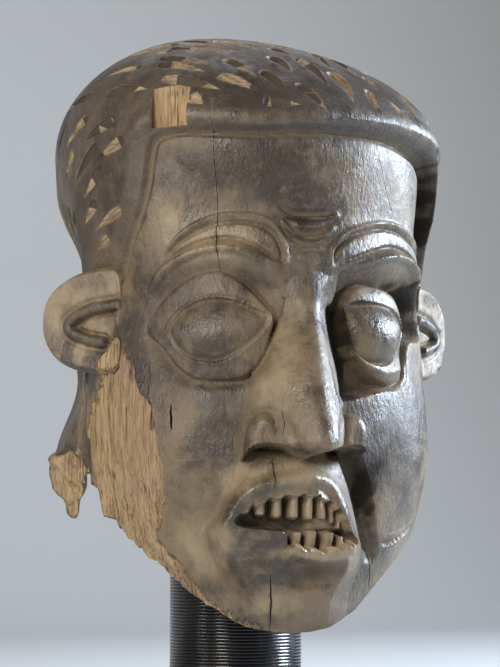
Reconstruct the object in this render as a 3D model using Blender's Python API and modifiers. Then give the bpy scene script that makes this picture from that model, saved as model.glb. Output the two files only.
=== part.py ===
# Carved wooden helmet mask, standing on its post and round foot.
# Metres, +Z up, the face looks along -Y, the origin is the middle of the foot's underside.
# The carving is laid out in parts of the mask's height, 430 parts from the chin to the crown.

import math

import bmesh
import bpy
import numpy as np
from mathutils import Matrix, Vector

# sizes
MASK_HEIGHT = 0.430
WALL = 0.022               # thickness of the hollowed wood at the sides
CROWN_WALL = 0.040         # wood left over the seat inside the crown
CHIN_CLEARANCE = 0.060     # from the foot's top to the chin
POST_DIAMETER = 0.094
MASK_ASIDE = 0.008         # the mask sits a little to its own left on the post
FOOT_DIAMETER = 0.240
FOOT_THICKNESS = 0.018
FOOT_EDGE = 0.002          # rounding of the foot's edge
POST_EDGE = 0.0012
FIT = 0.0003               # gap between pieces that touch
CHIP_LENGTH = 0.034        # one chisel cut in the hair
CHIP_WIDTH = 0.0104
CHIP_DEPTH = 0.0050
CHIP_SUNK = 0.0008         # the head rounds away from a cut's straight rim
CHIP_GAP = 0.0125          # from one cut to the next, at the least
HAIR_ROWS = 21             # rows of cuts from ear to ear
HAIR_STEP = 42             # from cut to cut in a row, in parts
MASK_FACETS = 4900         # facets of the carved head before the rest is cut in it

PART = MASK_HEIGHT / 430
CHIN_Z = FOOT_THICKNESS + CHIN_CLEARANCE
SEAT_Z = CHIN_Z + MASK_HEIGHT - CROWN_WALL
ARC = 2.27                 # parts along the head for each degree round it

# the plain head: height, half width, depth to the front, depth to the back
LEVELS = np.array([
    (-20, 82, 110, 124), (45, 104, 126, 134), (90, 116, 133, 142), (140, 123, 135, 148),
    (200, 122, 130, 150), (250, 117, 129, 152), (300, 120, 133, 156), (335, 121, 131, 157)], float)
SHOULDER = 335.0
CROWN = 410.0
SQUARENESS = 2.25

# height of the lower edge, broken on the mask's right side
RIM = np.array([
    (-180, 124), (-150, 121), (-125, 114), (-104, 105), (-96, 94), (-90, 89), (-88, 77), (-85.5, 82), (-82, 97),
    (-79.5, 106), (-77.5, 97), (-75, 80), (-66.5, 75), (-64.5, 67), (-60, 60), (-54, 43), (-47, 31), (-39, 20),
    (-32, 13), (-25, 7), (-18, 2), (-11, 1), (-5, 0), (2, 0), (9, 3), (20, 14), (28, 28), (38, 45), (48, 60),
    (57, 73), (65, 85), (80, 98), (100, 110), (125, 117), (150, 122), (180, 124)], float)

EYES = (
    dict(base=0.5, rise=8.0, fall=4.5,
         lid=[(-48.5, 200), (-42, 223), (-31, 237), (-22, 234), (-14, 219), (-9.6, 207), (-12, 185), (-17, 168.5),
              (-27, 163.5), (-38, 174)],
         ball=[(-40, 199), (-35.8, 211), (-26, 218.5), (-16.8, 213), (-11.2, 206.5), (-14.5, 194), (-21, 181),
               (-29.5, 177), (-36, 184)]),
    dict(base=-4.5, rise=11.0, fall=3.0,
         lid=[(12.4, 213), (16.5, 228.6), (25.6, 232.4), (36, 225.6), (39.5, 209), (37, 178), (30.3, 163.5),
              (20.6, 171.4), (14.2, 192)],
         ball=[(13.3, 212), (18, 220.5), (30, 218), (36.6, 206), (31.6, 184.5), (24, 177.5), (17, 184.8)]),
)
RIGHT_SOCKET = dict(at=-25.6, z=201, half=57, tall=45, deep=8)
LEFT_SOCKET = [(4, 222), (16, 243), (40, 245), (57, 230), (58, 203), (43.5, 195.5), (38.6, 173.4), (22.7, 159.5),
               (5.5, 151), (3, 190)]
BROWS = (
    dict(upper=[(-42, 247), (-37, 257), (-31.6, 264.5), (-25.5, 269.5), (-18, 269.6), (-11.5, 264.5), (-7.8, 251.5)],
         lower=[(-42.3, 244), (-36.8, 251), (-29, 258), (-19.6, 257.8), (-13.5, 251), (-7.6, 244.5)],
         under=[(-47, 228), (-38.5, 244), (-27, 252.5), (-16, 247)]),
    dict(upper=[(8.2, 246), (9.2, 253), (13, 261.5), (18.5, 266.8), (30, 271.4), (42, 267.5), (57, 253)],
         lower=[(8.6, 243.8), (15.4, 248.7), (23.8, 255.8), (34, 259.3), (46, 253.5), (56, 247)],
         under=[(16, 241.5), (30, 252.5), (41, 251), (52, 241)]),
)
FURROWS = (
    [(-9.2, 278.7), (-4, 273.5), (0.7, 273.3), (10.1, 277.1)],
    [(-7.2, 272), (-3.7, 261.9), (0.5, 260.4), (4.7, 262.1), (8.6, 268.3)],
    [(-5.2, 253.4), (-0.8, 251.7), (4.2, 253.3)],
)
# the nose by height: ridge in degrees, half width on each side, rise
NOSE = np.array([
    (106, -1.2, 16, 15, 39), (114, -1.4, 27, 20, 45), (122, -1.4, 33, 23, 47), (135, -1.3, 36, 26, 44),
    (150, -1.2, 37.5, 27, 38), (172, -0.8, 35, 25, 29), (192, 0.0, 26, 19, 18), (205, 0.8, 21, 15, 10),
    (218, 1.3, 18, 13, 4), (240, 1.5, 14, 10, 0)], float)
NOSE_BASE = [(-20, 112), (-16.5, 119), (-12.1, 121.5), (-6.6, 114.6), (-4, 112.4), (1, 117), (7, 120.5), (14, 115)]
NOSTRILS = (
    ([(-18.6, 108), (-18.3, 124), (-16.3, 139.4), (-14, 143), (-11.6, 142.6), (-8.4, 131.5), (-6.6, 118), (-6.6, 108)], 24.5),
    ([(3, 108), (3, 122), (5.8, 142), (8.6, 144), (11.4, 141.5), (13.4, 124), (13.2, 108)], 26),
)
MOUTH = [(-20.2, 71.5), (-16.3, 81.4), (-10.5, 87.4), (-2.1, 89.2), (5, 82.4), (9.1, 68.8), (11.4, 60), (6.7, 55.4),
         (-1.4, 53.2), (-6.9, 57.4), (-9, 66.8), (-17, 68.4)]
UPPER_LIP = [(-24, 66), (-21.6, 82), (-16.6, 92.4), (-8, 98.8), (-3, 100.2), (4.6, 95), (8.2, 79), (12, 61)]
LOWER_LIP = [(-7.4, 55.4), (-4, 52), (0, 50), (4.2, 50.2), (7.8, 53.2), (11.2, 57.6)]
UPPER_TEETH = [(-14.4, 1.75, 75.4), (-10, 1.6, 74), (-5.6, 1.65, 73.6), (-1.6, 1.5, 72.8), (2.1, 1.3, 73), (5.4, 1.2, 71)]
LOWER_TEETH = [(-4.9, 1.6), (-1, 1.7), (3.7, 1.75), (7.6, 1.3)]
CHEEK_VALLEY = [(10, 124), (12.4, 112), (15.2, 98), (17.8, 80), (20.4, 64), (23, 52)]
CHEEK_FOLD = [(27, 57.2), (33, 60), (40, 65.8), (46, 71)]
BROKEN_WOOD = [(-61.5, 199), (-54.5, 181), (-49, 158), (-43.6, 133), (-41.6, 104), (-45, 73), (-38, 42), (-24, 13),
               (-14, -20), (-78, -20), (-79.6, 118), (-77.5, 146), (-68.5, 178)]
HANGING_END = [(-112, 98), (-104, 110), (-90, 117), (-81.5, 108), (-80.5, 60), (-112, 60)]
HAIRLINE = [(-71, 238), (-63.5, 241), (-58, 252.5), (-49.2, 284), (-45.8, 313.5), (-42, 329), (-24, 328.2), (-14, 327.6),
            (8, 331.2), (36, 330), (48, 327), (57.5, 320.5), (61.5, 285), (64, 264), (73, 246)]
EARS = (
    dict(at=-62, z=210, turn=45, reach=64, half=37),
    dict(at=62, z=208, turn=45, reach=54, half=35),
)
EAR_SUNK = 8.0


def ease(x, start, end):
    """0 at start, 1 at end."""
    k = np.clip((x - start) / (end - start), 0, 1)
    return k * k * (3 - 2 * k)


def bump(x, width):
    """1 at 0, falling to 0 at the width."""
    k = np.clip(np.abs(x) / width, 0, 1)
    return (1 - k * k) ** 2


def smooth_line(points, count=60):
    """Smooth line through points given as degrees round the head and height, in parts."""
    p = np.array([(a * ARC, z) for a, z in points], float)
    p = np.vstack([2 * p[0] - p[1], p, 2 * p[-1] - p[-2]])
    spans = len(p) - 3
    k = np.linspace(0, 1, max(2, count // spans), endpoint=False)[:, None]
    rows = []
    for i in range(spans):
        a, b, c, d = p[i:i + 4]
        rows.append(b + 0.5 * k * (c - a + k * (2 * a - 5 * b + 4 * c - d + k * (3 * (b - c) + d - a))))
    return np.vstack(rows + [p[-2:-1]])


def closed_line(points, count=60):
    """Smooth closed line through points, its first point not repeated."""
    line = smooth_line(points[-2:] + points + points[:3], count)
    step = max(2, count // (len(points) + 4))
    return line[2 * step:-2 * step - 1]


def distance(s, z, line, closed=False):
    """Distance to a line, the share run along it, and the side on which a point lies."""
    ends = np.roll(line, -1, 0) if closed else line[1:]
    best = np.full(s.shape, 1e9)
    share = np.zeros(s.shape)
    side = np.zeros(s.shape)
    for i, (a, b) in enumerate(zip(line, ends)):
        run = b - a
        ds, dz = s - a[0], z - a[1]
        k = np.clip((ds * run[0] + dz * run[1]) / (run @ run), 0, 1)
        d = np.hypot(ds - k * run[0], dz - k * run[1])
        near = d < best
        best = np.where(near, d, best)
        share = np.where(near, (i + k) / len(ends), share)
        side = np.where(near, np.sign(run[0] * dz - run[1] * ds), side)
    return best, share, side


def depth_in(s, z, loop):
    """Distance to a closed line, negative inside it."""
    d = distance(s, z, loop, closed=True)[0]
    within = np.zeros(s.shape, bool)
    for (s0, z0), (s1, z1) in zip(loop, np.roll(loop, -1, 0)):
        if z0 != z1:
            within ^= ((z0 > z) != (z1 > z)) & (s < s0 + (z - z0) * (s1 - s0) / (z1 - z0))
    return np.where(within, -d, d)


def radius(angle, z):
    """Plain head's radius at an angle, at or below the shoulder."""
    half, front, back = (np.polyval(np.polyfit(LEVELS[:, 0] / 100, LEVELS[:, k], 5), z / 100) for k in (1, 2, 3))
    depth = np.where(np.cos(angle) > 0, front, back)
    return (np.abs(np.sin(angle) / half) ** SQUARENESS + np.abs(np.cos(angle) / depth) ** SQUARENESS) ** (-1 / SQUARENESS)


def plain_head(angle, share):
    """Point and outward direction, share 0 at the lower edge and 1 at the crown."""
    low = np.interp(np.degrees(angle), RIM[:, 0], RIM[:, 1])
    bend = 0.72
    tip = np.clip((share - bend) / (1 - bend), 0, 1) * np.pi / 2
    z = np.where(share < bend, low + (SHOULDER - low) * share / bend, SHOULDER + (CROWN - SHOULDER) * np.sin(tip))
    r = radius(angle, z) * np.cos(tip) ** 0.86
    y = -r * np.cos(angle)
    x = r * np.sin(angle) - 5 * np.sin(tip)
    point = np.stack([x, y, z + (0.055 * y - 0.035 * x) * np.sin(tip)], -1)
    out = np.stack([np.sin(angle) * np.cos(tip), -np.cos(angle) * np.cos(tip), np.sin(tip)], -1)
    return point, out


def carve_cheeks(h, s, z):
    at = s / ARC
    h += 5 * np.exp(-((at - 44) / 21) ** 2 - ((z - 108) / 50) ** 2)
    h += 3 * np.exp(-((at + 40) / 20) ** 2 - ((z - 125) / 50) ** 2)
    h -= 4 * np.exp(-((np.abs(at) - 62) / 10) ** 2 - ((z - 262) / 30) ** 2)
    h += 7 * np.exp(-((at - 4) / 17) ** 2 - ((z - 12) / 15) ** 2)
    d, share, side = distance(s, z, smooth_line(CHEEK_FOLD))
    ends = np.interp(share, [0, 0.2, 0.8, 1], [0.2, 1, 1, 0.2])
    h += ends * (2.5 * bump(np.where(side > 0, d - 5, 9), 5) - 3.5 * bump(d, 3))
    h += np.where(at < 0, 20, 10) * ease(np.abs(at), 76, 94) * ease(z, 175, 112)
    h -= 14 * bump(z - 256, 58) * ease(np.abs(at), 80, 102)
    return h


def carve_brows(h, s, z):
    h += 4 * bump(z - 246, 34) * ease(np.abs(s), 155, 115) * ease(z, 205, 245)
    for brow in BROWS:
        loop = np.vstack([smooth_line(brow["upper"]), smooth_line(brow["lower"])[::-1]])
        d = depth_in(s, z, loop)
        h += 1.8 * bump(d - 4.5, 4.2) - 3.2 * bump(d, 3.2)
        h += 3 * bump(distance(s, z, smooth_line(brow["under"]))[0], 5.5)
    for points, strength in zip(FURROWS, (1.0, 1.2, 0.8)):
        d, share, side = distance(s, z, smooth_line(points))
        taper = strength * np.sin(np.pi * np.clip(share, 0.02, 0.98)) ** 0.5
        h += taper * (1.6 * bump(d, 2.6) - 2.4 * bump(np.where(side > 0, d - 4.5, 9), 4.5))
    return h


def carve_sockets(h, s, z):
    side = RIGHT_SOCKET
    reach = np.hypot((s - side["at"] * ARC) / side["half"], (z - side["z"]) / side["tall"])
    h -= side["deep"] * ease(reach, 1.0, 0.6)
    deep = np.interp(s / ARC, [4, 14, 34, 43, 52, 60], [13, 15, 16, 21, 19, 12])
    soft = np.interp(z, [150, 175, 215, 240], [5, 6, 9, 17])
    h -= deep * ease(depth_in(s, z, closed_line(LEFT_SOCKET)) / soft, 0.35, -1.0)
    return h


def carve_eyes(h, s, z):
    for eye in EYES:
        to_lid, to_ball = (depth_in(s, z, closed_line(eye[key])) for key in ("lid", "ball"))
        ball = eye["base"] + 1 + eye["rise"] * (1 - (1 - np.clip(-to_ball / 21, 0, 1)) ** 2) ** 0.8
        across = np.clip(to_ball / np.maximum(to_ball - to_lid, 0.01), 0, 1)
        lid = eye["base"] + 4.4 - eye["fall"] * across ** 1.5
        inside = ball + (lid - ball) * ease(to_ball, -1.5, 1.5)
        h += (inside - h) * ease(to_lid, 1.0, -2.0)
        h -= 2.4 * bump(to_lid - 1.5, 2.6)
    return h


def carve_nose(h, s, z):
    middle, right, left, rise = (np.interp(z, NOSE[:, 0], NOSE[:, k]) for k in (1, 2, 3, 4))
    ds = s - middle * ARC
    across = np.clip(np.abs(ds) / np.where(ds < 0, right, left), 0, 1) ** np.where(ds < 0, 1.35, 1.75)
    nose = rise * (1 - across) + 4 * bump(ds, 26) * bump(z - 232, 24)
    for points, proud in NOSTRILS:
        d = depth_in(s, z, closed_line(points))
        round_edge = np.sqrt(1 - (1 - np.clip(-d / 8, 0, 1)) ** 2)
        nose -= 2.6 * bump(d - 0.5, 3.2)
        nose = np.maximum(nose, proud * (0.35 * ease(d, 1.2, -1.2) + 0.65 * round_edge))
    base = smooth_line(NOSE_BASE)
    nose *= ease(z - np.interp(s, base[:, 0], base[:, 1]), -2.5, 2.5)
    return np.maximum(h, nose + 0.3 * np.minimum(h, 0) - 99 * (nose < 0.5))


def carve_mouth(h, s, z):
    left = np.interp(z, [20, 45, 66, 76.5, 90, 103, 124], [-20, -27, -29.5, -25.6, -22.8, -19.6, -15]) * ARC
    right = np.interp(z, [20, 45, 57, 64, 80, 97, 124], [15, 18.6, 18.2, 16.6, 13.8, 11, 8]) * ARC
    inside = np.minimum(ease(s - left, -5, 14), np.clip((right - s + 1.5) / 19, 0, 1) ** 0.85)
    block = inside * (7 + 14 * bump(z - 72, 66)) * ease(z, 126, 108)
    h += block * np.interp(z, [0, 20, 40], [0.55, 0.72, 1.0])
    d, share, _ = distance(s, z, smooth_line(CHEEK_VALLEY))
    h -= 10 * bump(d, 10) * np.interp(share, [0, 0.15, 0.8, 1], [0.2, 1, 1, 0.4])
    return h


def carve_lips(h, s, z):
    near = (s > -85) & (s < 60) & (z > 10) & (z < 130)
    s, z, f = s[near], z[near], h[near]
    for points, tall, wide, first, last in ((UPPER_LIP, 5.0, 8, 0.2, 0.5), (LOWER_LIP, 7.5, 6, 0.1, 0.5)):
        d, share, _ = distance(s, z, smooth_line(points))
        f += tall * bump(d, wide) * np.interp(share, [0, 0.1, 0.92, 1], [first, 1, 1, last])
    f -= 9 * bump(np.hypot((s + 1) / 27, (z - 36) / 12), 1.0)
    f -= 4.5 * bump(np.hypot((s + 32) / 25, (z - 55) / 16), 1.0)
    opening = 21 * ease(depth_in(s, z, closed_line(MOUTH)), 1.0, -2.0)
    teeth = np.zeros(s.shape)
    for at, half, end in UPPER_TEETH:
        across = np.clip(np.abs(s / ARC - at) / half, 0, 1)
        teeth = np.maximum(teeth, 15.5 * np.sqrt(1 - across ** 3) * ease(z, end - 2, end + 1))
    for at, half in LOWER_TEETH:
        across = np.clip(np.abs(s / ARC - at) / half, 0, 1)
        teeth = np.maximum(teeth, 18.5 * np.sqrt(1 - across ** 5) * ease(z, 68, 65))
    f -= np.maximum(opening - teeth, 0)
    h[near] = f
    return h


def carve_broken(h, s, z):
    h -= 5.5 * ease(depth_in(s, z, closed_line(BROKEN_WOOD)), 0.5, -3.5)
    h -= 5 * bump(s / ARC + 81.2, 2.4) * ease(z, 196, 160)
    h += 1.5 * ease(depth_in(s, z, closed_line(HANGING_END)), 0.5, -4)
    return h


def hair_depth(s, z):
    """Distance inside the edge of the hair."""
    at = np.abs(s / ARC)
    d, _, side = distance(s, z, smooth_line(HAIRLINE, 120))
    front = np.where(side > 0, d, -d)
    back = z - np.interp(at, [66, 90, 120, 180], [240, 222, 205, 196])
    edge = np.where(at > 84, back, np.where(at > 66, np.minimum(front, back), front))
    edge = np.where(z > 400, 60, np.where(z < 180, -60, edge))
    return np.clip(edge, -60, 60)


def carve_hair(h, s, z):
    """A thick rolled edge: on the right the forehead rises to meet it, on the left it overhangs."""
    at = s / ARC
    edge = hair_depth(s, z)
    thick = np.interp(z, [200, 245, 290], [5, 8, 14.5])
    fill = np.interp(at, [-90, -75, -62, -45, 0, 20, 36, 60], [0, 5, 9, 10, 7, 4, 1, 0]) * ease(z, 236, 275)
    width = np.interp(at, [-70, -44, -38, 0, 45, 56, 62], [16, 14, 8, 7, 9, 5, 4.5])
    rise = ease(edge / width, -0.15, 1)
    h += fill * ease(edge, -55, -3) * (1 - rise) + thick * rise
    h += 2 * bump(edge - 12, 9) * ease(np.abs(at), 100, 70) * ease(z, 325, 338)
    crease = np.interp(at, [-110, -80, -44, -30, 10, 30, 52, 64, 75, 110], [0, 1, 4, 1.6, 1.6, 2.5, 7, 9, 5, 0])
    wide = np.interp(at, [-60, -36, 20, 45, 58], [7, 3, 3, 5, 9])
    h -= crease * bump(edge + 0.45 * wide, wide)
    return h


def carved(angle, share):
    """Outer surface of the mask, in parts."""
    point, out = plain_head(angle, share)
    z = point[..., 2]
    s = np.degrees(angle) * ARC
    h = np.zeros(s.shape)
    h = carve_cheeks(h, s, z)
    h = carve_brows(h, s, z)
    h = carve_sockets(h, s, z)
    h = carve_mouth(h, s, z)
    h = carve_nose(h, s, z)
    h = carve_eyes(h, s, z)
    h = carve_lips(h, s, z)
    h = carve_hair(h, s, z)
    h = carve_broken(h, s, z)
    return point + out * h[..., None]


def place(points):
    """Parts to metres, with the mask where it sits on its post."""
    return np.asarray(points) * PART + np.array([MASK_ASIDE, 0, CHIN_Z])


def loft(name, rings, first, last, collection):
    """Closed skin over rings of points, with a pole at each end."""
    rows, cols = rings.shape[:2]
    bm = bmesh.new()
    grid = [[bm.verts.new(p) for p in ring] for ring in rings]
    for low, high in zip(grid, grid[1:]):
        for i in range(cols):
            j = (i + 1) % cols
            bm.faces.new((low[i], low[j], high[j], high[i]))
    start, end = bm.verts.new(first), bm.verts.new(last)
    for i in range(cols):
        j = (i + 1) % cols
        bm.faces.new((start, grid[0][j], grid[0][i]))
        bm.faces.new((end, grid[-1][i], grid[-1][j]))
    bmesh.ops.recalc_face_normals(bm, faces=bm.faces)
    mesh = bpy.data.meshes.new(name)
    bm.to_mesh(mesh)
    bm.free()
    obj = bpy.data.objects.new(name, mesh)
    collection.objects.link(obj)
    return obj


def boolean(obj, cutter, operation):
    cutter.hide_render = True
    cutter.display_type = "WIRE"
    modifier = obj.modifiers.new(cutter.name, "BOOLEAN")
    modifier.operation = operation
    modifier.object = cutter


def material(name, colour, roughness, metallic=0.0):
    mat = bpy.data.materials.new(name)
    mat.use_nodes = True
    shader = mat.node_tree.nodes["Principled BSDF"]
    shader.inputs["Base Color"].default_value = (*colour, 1)
    shader.inputs["Roughness"].default_value = roughness
    shader.inputs["Metallic"].default_value = metallic
    return mat


def make_head(collection):
    """The carved outside, closed across the bottom."""
    turn = np.linspace(-np.pi, np.pi, 216, endpoint=False)
    angle, share = np.meshgrid(turn - 0.35 * np.sin(turn), np.linspace(0, 0.985, 150))
    rings = carved(angle, share)
    inner = rings[:1] * np.array([0.7, 0.7, 1]) + np.array([0, 0, 7])
    crown = carved(np.zeros((1, 1)), np.ones((1, 1)))[0, 0]
    bottom = [0, 0, rings[0, :, 2].mean()]
    return loft("mask", place(np.vstack([inner, rings])), place(bottom), place(crown), collection)


def make_ear(name, ear, collection):
    """A flat lobed ear: a raised rim round a sunk bowl with a low ridge in it."""
    side = math.copysign(1, ear["at"])
    at = math.radians(ear["at"])
    turn = math.radians(ear["turn"])
    along = np.array([side * math.cos(turn), math.sin(turn), 0])
    face = np.array([side * math.sin(turn), -math.cos(turn), 0])
    r = radius(at, ear["z"])
    centre = np.array([r * math.sin(at), -r * math.cos(at), ear["z"]]) + 14 * along - EAR_SUNK * face
    phi, rho = np.meshgrid(np.linspace(0, 2 * np.pi, 22, endpoint=False), np.linspace(0.12, 1, 7))
    c, k = np.cos(phi), np.sin(phi)
    out = np.where(c > 0, ear["reach"] - 5, 9)
    size = (np.abs(c / out) ** 2.4 + np.abs(k / ear["half"]) ** 2.4) ** (-1 / 2.4)
    u, v = rho * size * c, rho * size * k
    edge = (1 - rho) * size
    tip, top, bottom = 0.72 * ear["reach"] - 12, 0.45 * ear["half"], -0.42 * ear["half"]
    vee = np.array([(-4, top), (0.45 * tip, 0.85 * top), (tip, 0), (0.45 * tip, 0.9 * bottom), (-4, bottom)])
    ridge, _, side_of = distance(u, v, vee)
    bowl = np.where(side_of < 0, ease(ridge, 2, 6), 0) * ease(edge, 4, 9)
    front = 7 * ease(edge, 0, 4) - 1.5 * ease(edge, 6, 18) + 3 * bump(ridge, 5.5) - 3 * bowl
    back = -2 - 13 * ease(edge, -2, 16)
    flat = u[..., None] * along + v[..., None] * np.array([0, 0, 1])
    rings = np.vstack([flat + front[..., None] * face, (flat + back[..., None] * face)[::-1]]) + centre
    return loft(name, place(rings), place(rings[0].mean(0)), place(rings[-1].mean(0)), collection)


def make_hollow(collection):
    """The bore of the mask: the plain head set in by the wall, with a level seat at its top."""
    top = (SEAT_Z - CHIN_Z) / PART
    angle = np.linspace(-np.pi, np.pi, 36, endpoint=False)
    levels = np.append(np.linspace(-40, SHOULDER, 6), np.linspace(SHOULDER, top, 4)[1:])
    rings = []
    for z in levels:
        rise = np.clip((z - SHOULDER) / (CROWN - SHOULDER), 0, 1)
        r = radius(angle, min(z, SHOULDER)) * (1 - rise ** 2) ** 0.43 - WALL / PART
        rings.append(np.stack([r * np.sin(angle), -r * np.cos(angle), np.full(angle.shape, z)], -1))
    rings = np.array(rings)
    return loft("hollow", place(rings), place([0, 0, -40]), place([0, 0, top]), collection)


def add_chip(bm, p, out, way, length, others):
    """A chisel's wedge: a steep end, and a long run out to a point, where no other is in its way."""
    along = (way - way.dot(out) * out).normalized()
    across = out.cross(along)
    line = [p + x * length * along for x in (-0.54, -0.4, -0.27, -0.13, 0, 0.13, 0.27, 0.4, 0.54)]
    if any((a - b).length < CHIP_GAP for a in line for b in others):
        return
    others += line
    lift = 0.4 * CHIP_DEPTH
    grow = 1 + lift / CHIP_DEPTH
    corners = [(-0.5, 0), (-0.2, 0.5), (0.5, 0), (-0.2, -0.5)]
    ring = [bm.verts.new(p + grow * (x * length * along + y * CHIP_WIDTH * across) + lift * out) for x, y in corners]
    low = bm.verts.new(p - 0.3 * length * along - CHIP_DEPTH * out)
    bm.faces.new(ring)
    for a, b in zip(ring, ring[1:] + ring[:1]):
        bm.faces.new((b, a, low))


def make_hair_chips(head, collection):
    """Staggered rows of chisel cuts that run forward over the hair, rising on its sides."""
    bpy.context.view_layer.update()
    bm = bmesh.new()
    others = []
    for row, lean in enumerate(np.linspace(-104, 104, HAIR_ROWS)):
        fan = Vector((math.sin(math.radians(lean)), 0, math.cos(math.radians(lean))))
        for k in range(7):
            stray = math.sin(12.99 * (7 * row + k))
            start = Vector(place([0, 134 - HAIR_STEP * (k + 0.5 * (row % 2)) + 4 * stray, 290]))
            hit, p, out, _ = head.ray_cast(start, fan)
            x, y, z = (p - Vector(place([0, 0, 0]))) / PART
            at = math.degrees(math.atan2(x, -y))
            edge = hair_depth(np.array([at * ARC]), np.array([z]))[0]
            if not hit or edge < 20 or (-51 < at < -27 and z < 373):
                continue
            rise = 0.45 * max(0, -x / 130) + 0.3 * max(0, (x - 70) / 60)
            way = Vector((0.32 + 0.16 * stray, -1, rise))
            add_chip(bm, p - CHIP_SUNK * out, out, way, CHIP_LENGTH * (1 + 0.1 * stray), others)
    bmesh.ops.recalc_face_normals(bm, faces=bm.faces)
    mesh = bpy.data.meshes.new("hair_chips")
    bm.to_mesh(mesh)
    bm.free()
    obj = bpy.data.objects.new("hair_chips", mesh)
    collection.objects.link(obj)
    return obj


def make_broken_edge(collection):
    """The place at the hairline where a block of the hair's edge has broken away."""
    angle = math.radians(-38.6)
    bpy.ops.mesh.primitive_cube_add(size=1)
    obj = bpy.context.object
    obj.name = "broken_edge"
    for other in obj.users_collection:
        other.objects.unlink(obj)
    collection.objects.link(obj)
    wide, deep, tall = 26 * PART, 24 * PART, 34 * PART
    z = 350.5
    r = radius(np.float64(angle), 335.0) + 15.5
    obj.matrix_world = (Matrix.Translation(place([r * math.sin(angle), -r * math.cos(angle), z]))
                        @ Matrix.Rotation(angle + math.radians(6), 4, "Z") @ Matrix.Diagonal((wide, deep, tall, 1)))
    return obj


def turned(name, profile, collection, steps=48):
    """A round piece from its outer profile, given top to bottom as radius and height."""
    mesh = bpy.data.meshes.new(name)
    mesh.from_pydata([(r, 0, z) for r, z in profile], [(i, i + 1) for i in range(len(profile) - 1)], [])
    obj = bpy.data.objects.new(name, mesh)
    collection.objects.link(obj)
    screw = obj.modifiers.new("turn", "SCREW")
    screw.steps = screw.render_steps = steps
    screw.use_merge_vertices = True
    screw.merge_threshold = 0.00005
    return obj


def main():
    for obj in list(bpy.data.objects):
        bpy.data.objects.remove(obj, do_unlink=True)
    parts = bpy.data.collections.new("helmet_mask")
    tools = bpy.data.collections.new("cutters")
    for collection in (parts, tools):
        bpy.context.scene.collection.children.link(collection)

    mask = make_head(parts)
    facets = mask.modifiers.new("facets", "DECIMATE")
    facets.ratio = MASK_FACETS / (2 * len(mask.data.polygons))
    chips = make_hair_chips(mask, tools)
    for side, ear in zip(("right", "left"), EARS):
        boolean(mask, make_ear(side + "_ear", ear, tools), "UNION")
    boolean(mask, make_hollow(tools), "DIFFERENCE")
    boolean(mask, make_broken_edge(tools), "DIFFERENCE")
    boolean(mask, chips, "DIFFERENCE")
    mask.data.materials.append(material("dark_carved_wood", (0.075, 0.045, 0.028), 0.38))

    half = POST_DIAMETER / 2
    low, high = FOOT_THICKNESS + FIT, SEAT_Z - FIT
    post = turned("stand_post", [(0, high), (half - POST_EDGE, high), (half, high - POST_EDGE), (half, low), (0, low)], parts)
    post.data.materials.append(material("black_gloss_post", (0.008, 0.008, 0.009), 0.22))

    half = FOOT_DIAMETER / 2
    foot = turned("stand_foot", [(0, FOOT_THICKNESS), (half - FOOT_EDGE, FOOT_THICKNESS), (half, FOOT_THICKNESS - FOOT_EDGE),
                                 (half, 0), (0, 0)], parts, 64)
    foot.data.materials.append(material("black_satin_foot", (0.012, 0.012, 0.012), 0.45))


main()
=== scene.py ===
import math
import bmesh
import bpy
import numpy as np
from mathutils import Matrix, Vector
from mathutils.kdtree import KDTree


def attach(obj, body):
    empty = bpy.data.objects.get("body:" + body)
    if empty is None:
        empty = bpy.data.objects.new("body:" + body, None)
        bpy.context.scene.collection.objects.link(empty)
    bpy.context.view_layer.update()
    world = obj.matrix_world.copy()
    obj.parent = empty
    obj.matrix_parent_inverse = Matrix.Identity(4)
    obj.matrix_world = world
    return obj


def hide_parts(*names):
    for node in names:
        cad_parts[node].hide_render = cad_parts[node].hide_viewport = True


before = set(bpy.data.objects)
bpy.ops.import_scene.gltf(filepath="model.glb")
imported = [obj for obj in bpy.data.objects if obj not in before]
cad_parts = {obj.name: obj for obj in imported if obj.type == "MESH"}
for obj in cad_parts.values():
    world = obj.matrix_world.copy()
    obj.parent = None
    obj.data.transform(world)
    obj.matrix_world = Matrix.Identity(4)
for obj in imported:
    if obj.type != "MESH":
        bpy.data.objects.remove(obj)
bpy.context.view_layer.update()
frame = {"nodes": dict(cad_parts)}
print("frame loaded")

# camera, floor and light
shot = {"target": (0.011, 0.0, 0.2875), "azimuth": -18.0, "elevation": -6.0, "distance": 1.4,
        "perPixel": 0.000728, "rows": 667}
lamps = {
    # place, watts, size, colour
    "softLeft": ((-1.25, -1.45, 0.95), 29, 0.6, (1.0, 0.91, 0.79)),
    "sideRight": ((1.35, -0.15, 0.75), 56, 0.45, (0.72, 0.84, 1.0)),
    "lowLeft": ((-1.7, -0.45, 0.42), 5, 0.25, (1.0, 0.95, 0.88)),
    "topBack": ((0.25, 0.75, 1.55), 2.5, 0.7, (0.93, 0.96, 1.0)),
}
room = {"colour": (0.80, 0.84, 0.90, 1), "strength": 0.27}
backdrop = {
    "front": -3.5, "back": 1.4, "corner": 0.9, "top": 3.6, "half": 4.5, "colour": (0.62, 0.62, 0.61, 1),
}


def viewAxis():
    # from the middle of the picture towards the camera
    azimuth, elevation = math.radians(shot["azimuth"]), math.radians(shot["elevation"])
    flat = math.cos(elevation)
    return Vector((math.sin(azimuth) * flat, -math.cos(azimuth) * flat, math.sin(elevation)))


def placed(name, data):
    obj = bpy.data.objects.new(name, data)
    bpy.context.scene.collection.objects.link(obj)
    return obj


def aim(obj, target):
    obj.rotation_mode = "QUATERNION"
    obj.rotation_quaternion = (Vector(target) - obj.location).to_track_quat("-Z", "Y")


def makeCamera():
    data = bpy.data.cameras.new("photoCamera")
    data.lens = data.sensor_width * shot["distance"] / (shot["rows"] * shot["perPixel"])
    camera = placed("photoCamera", data)
    camera.location = Vector(shot["target"]) + viewAxis() * shot["distance"]
    aim(camera, shot["target"])
    bpy.context.scene.camera = camera


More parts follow.
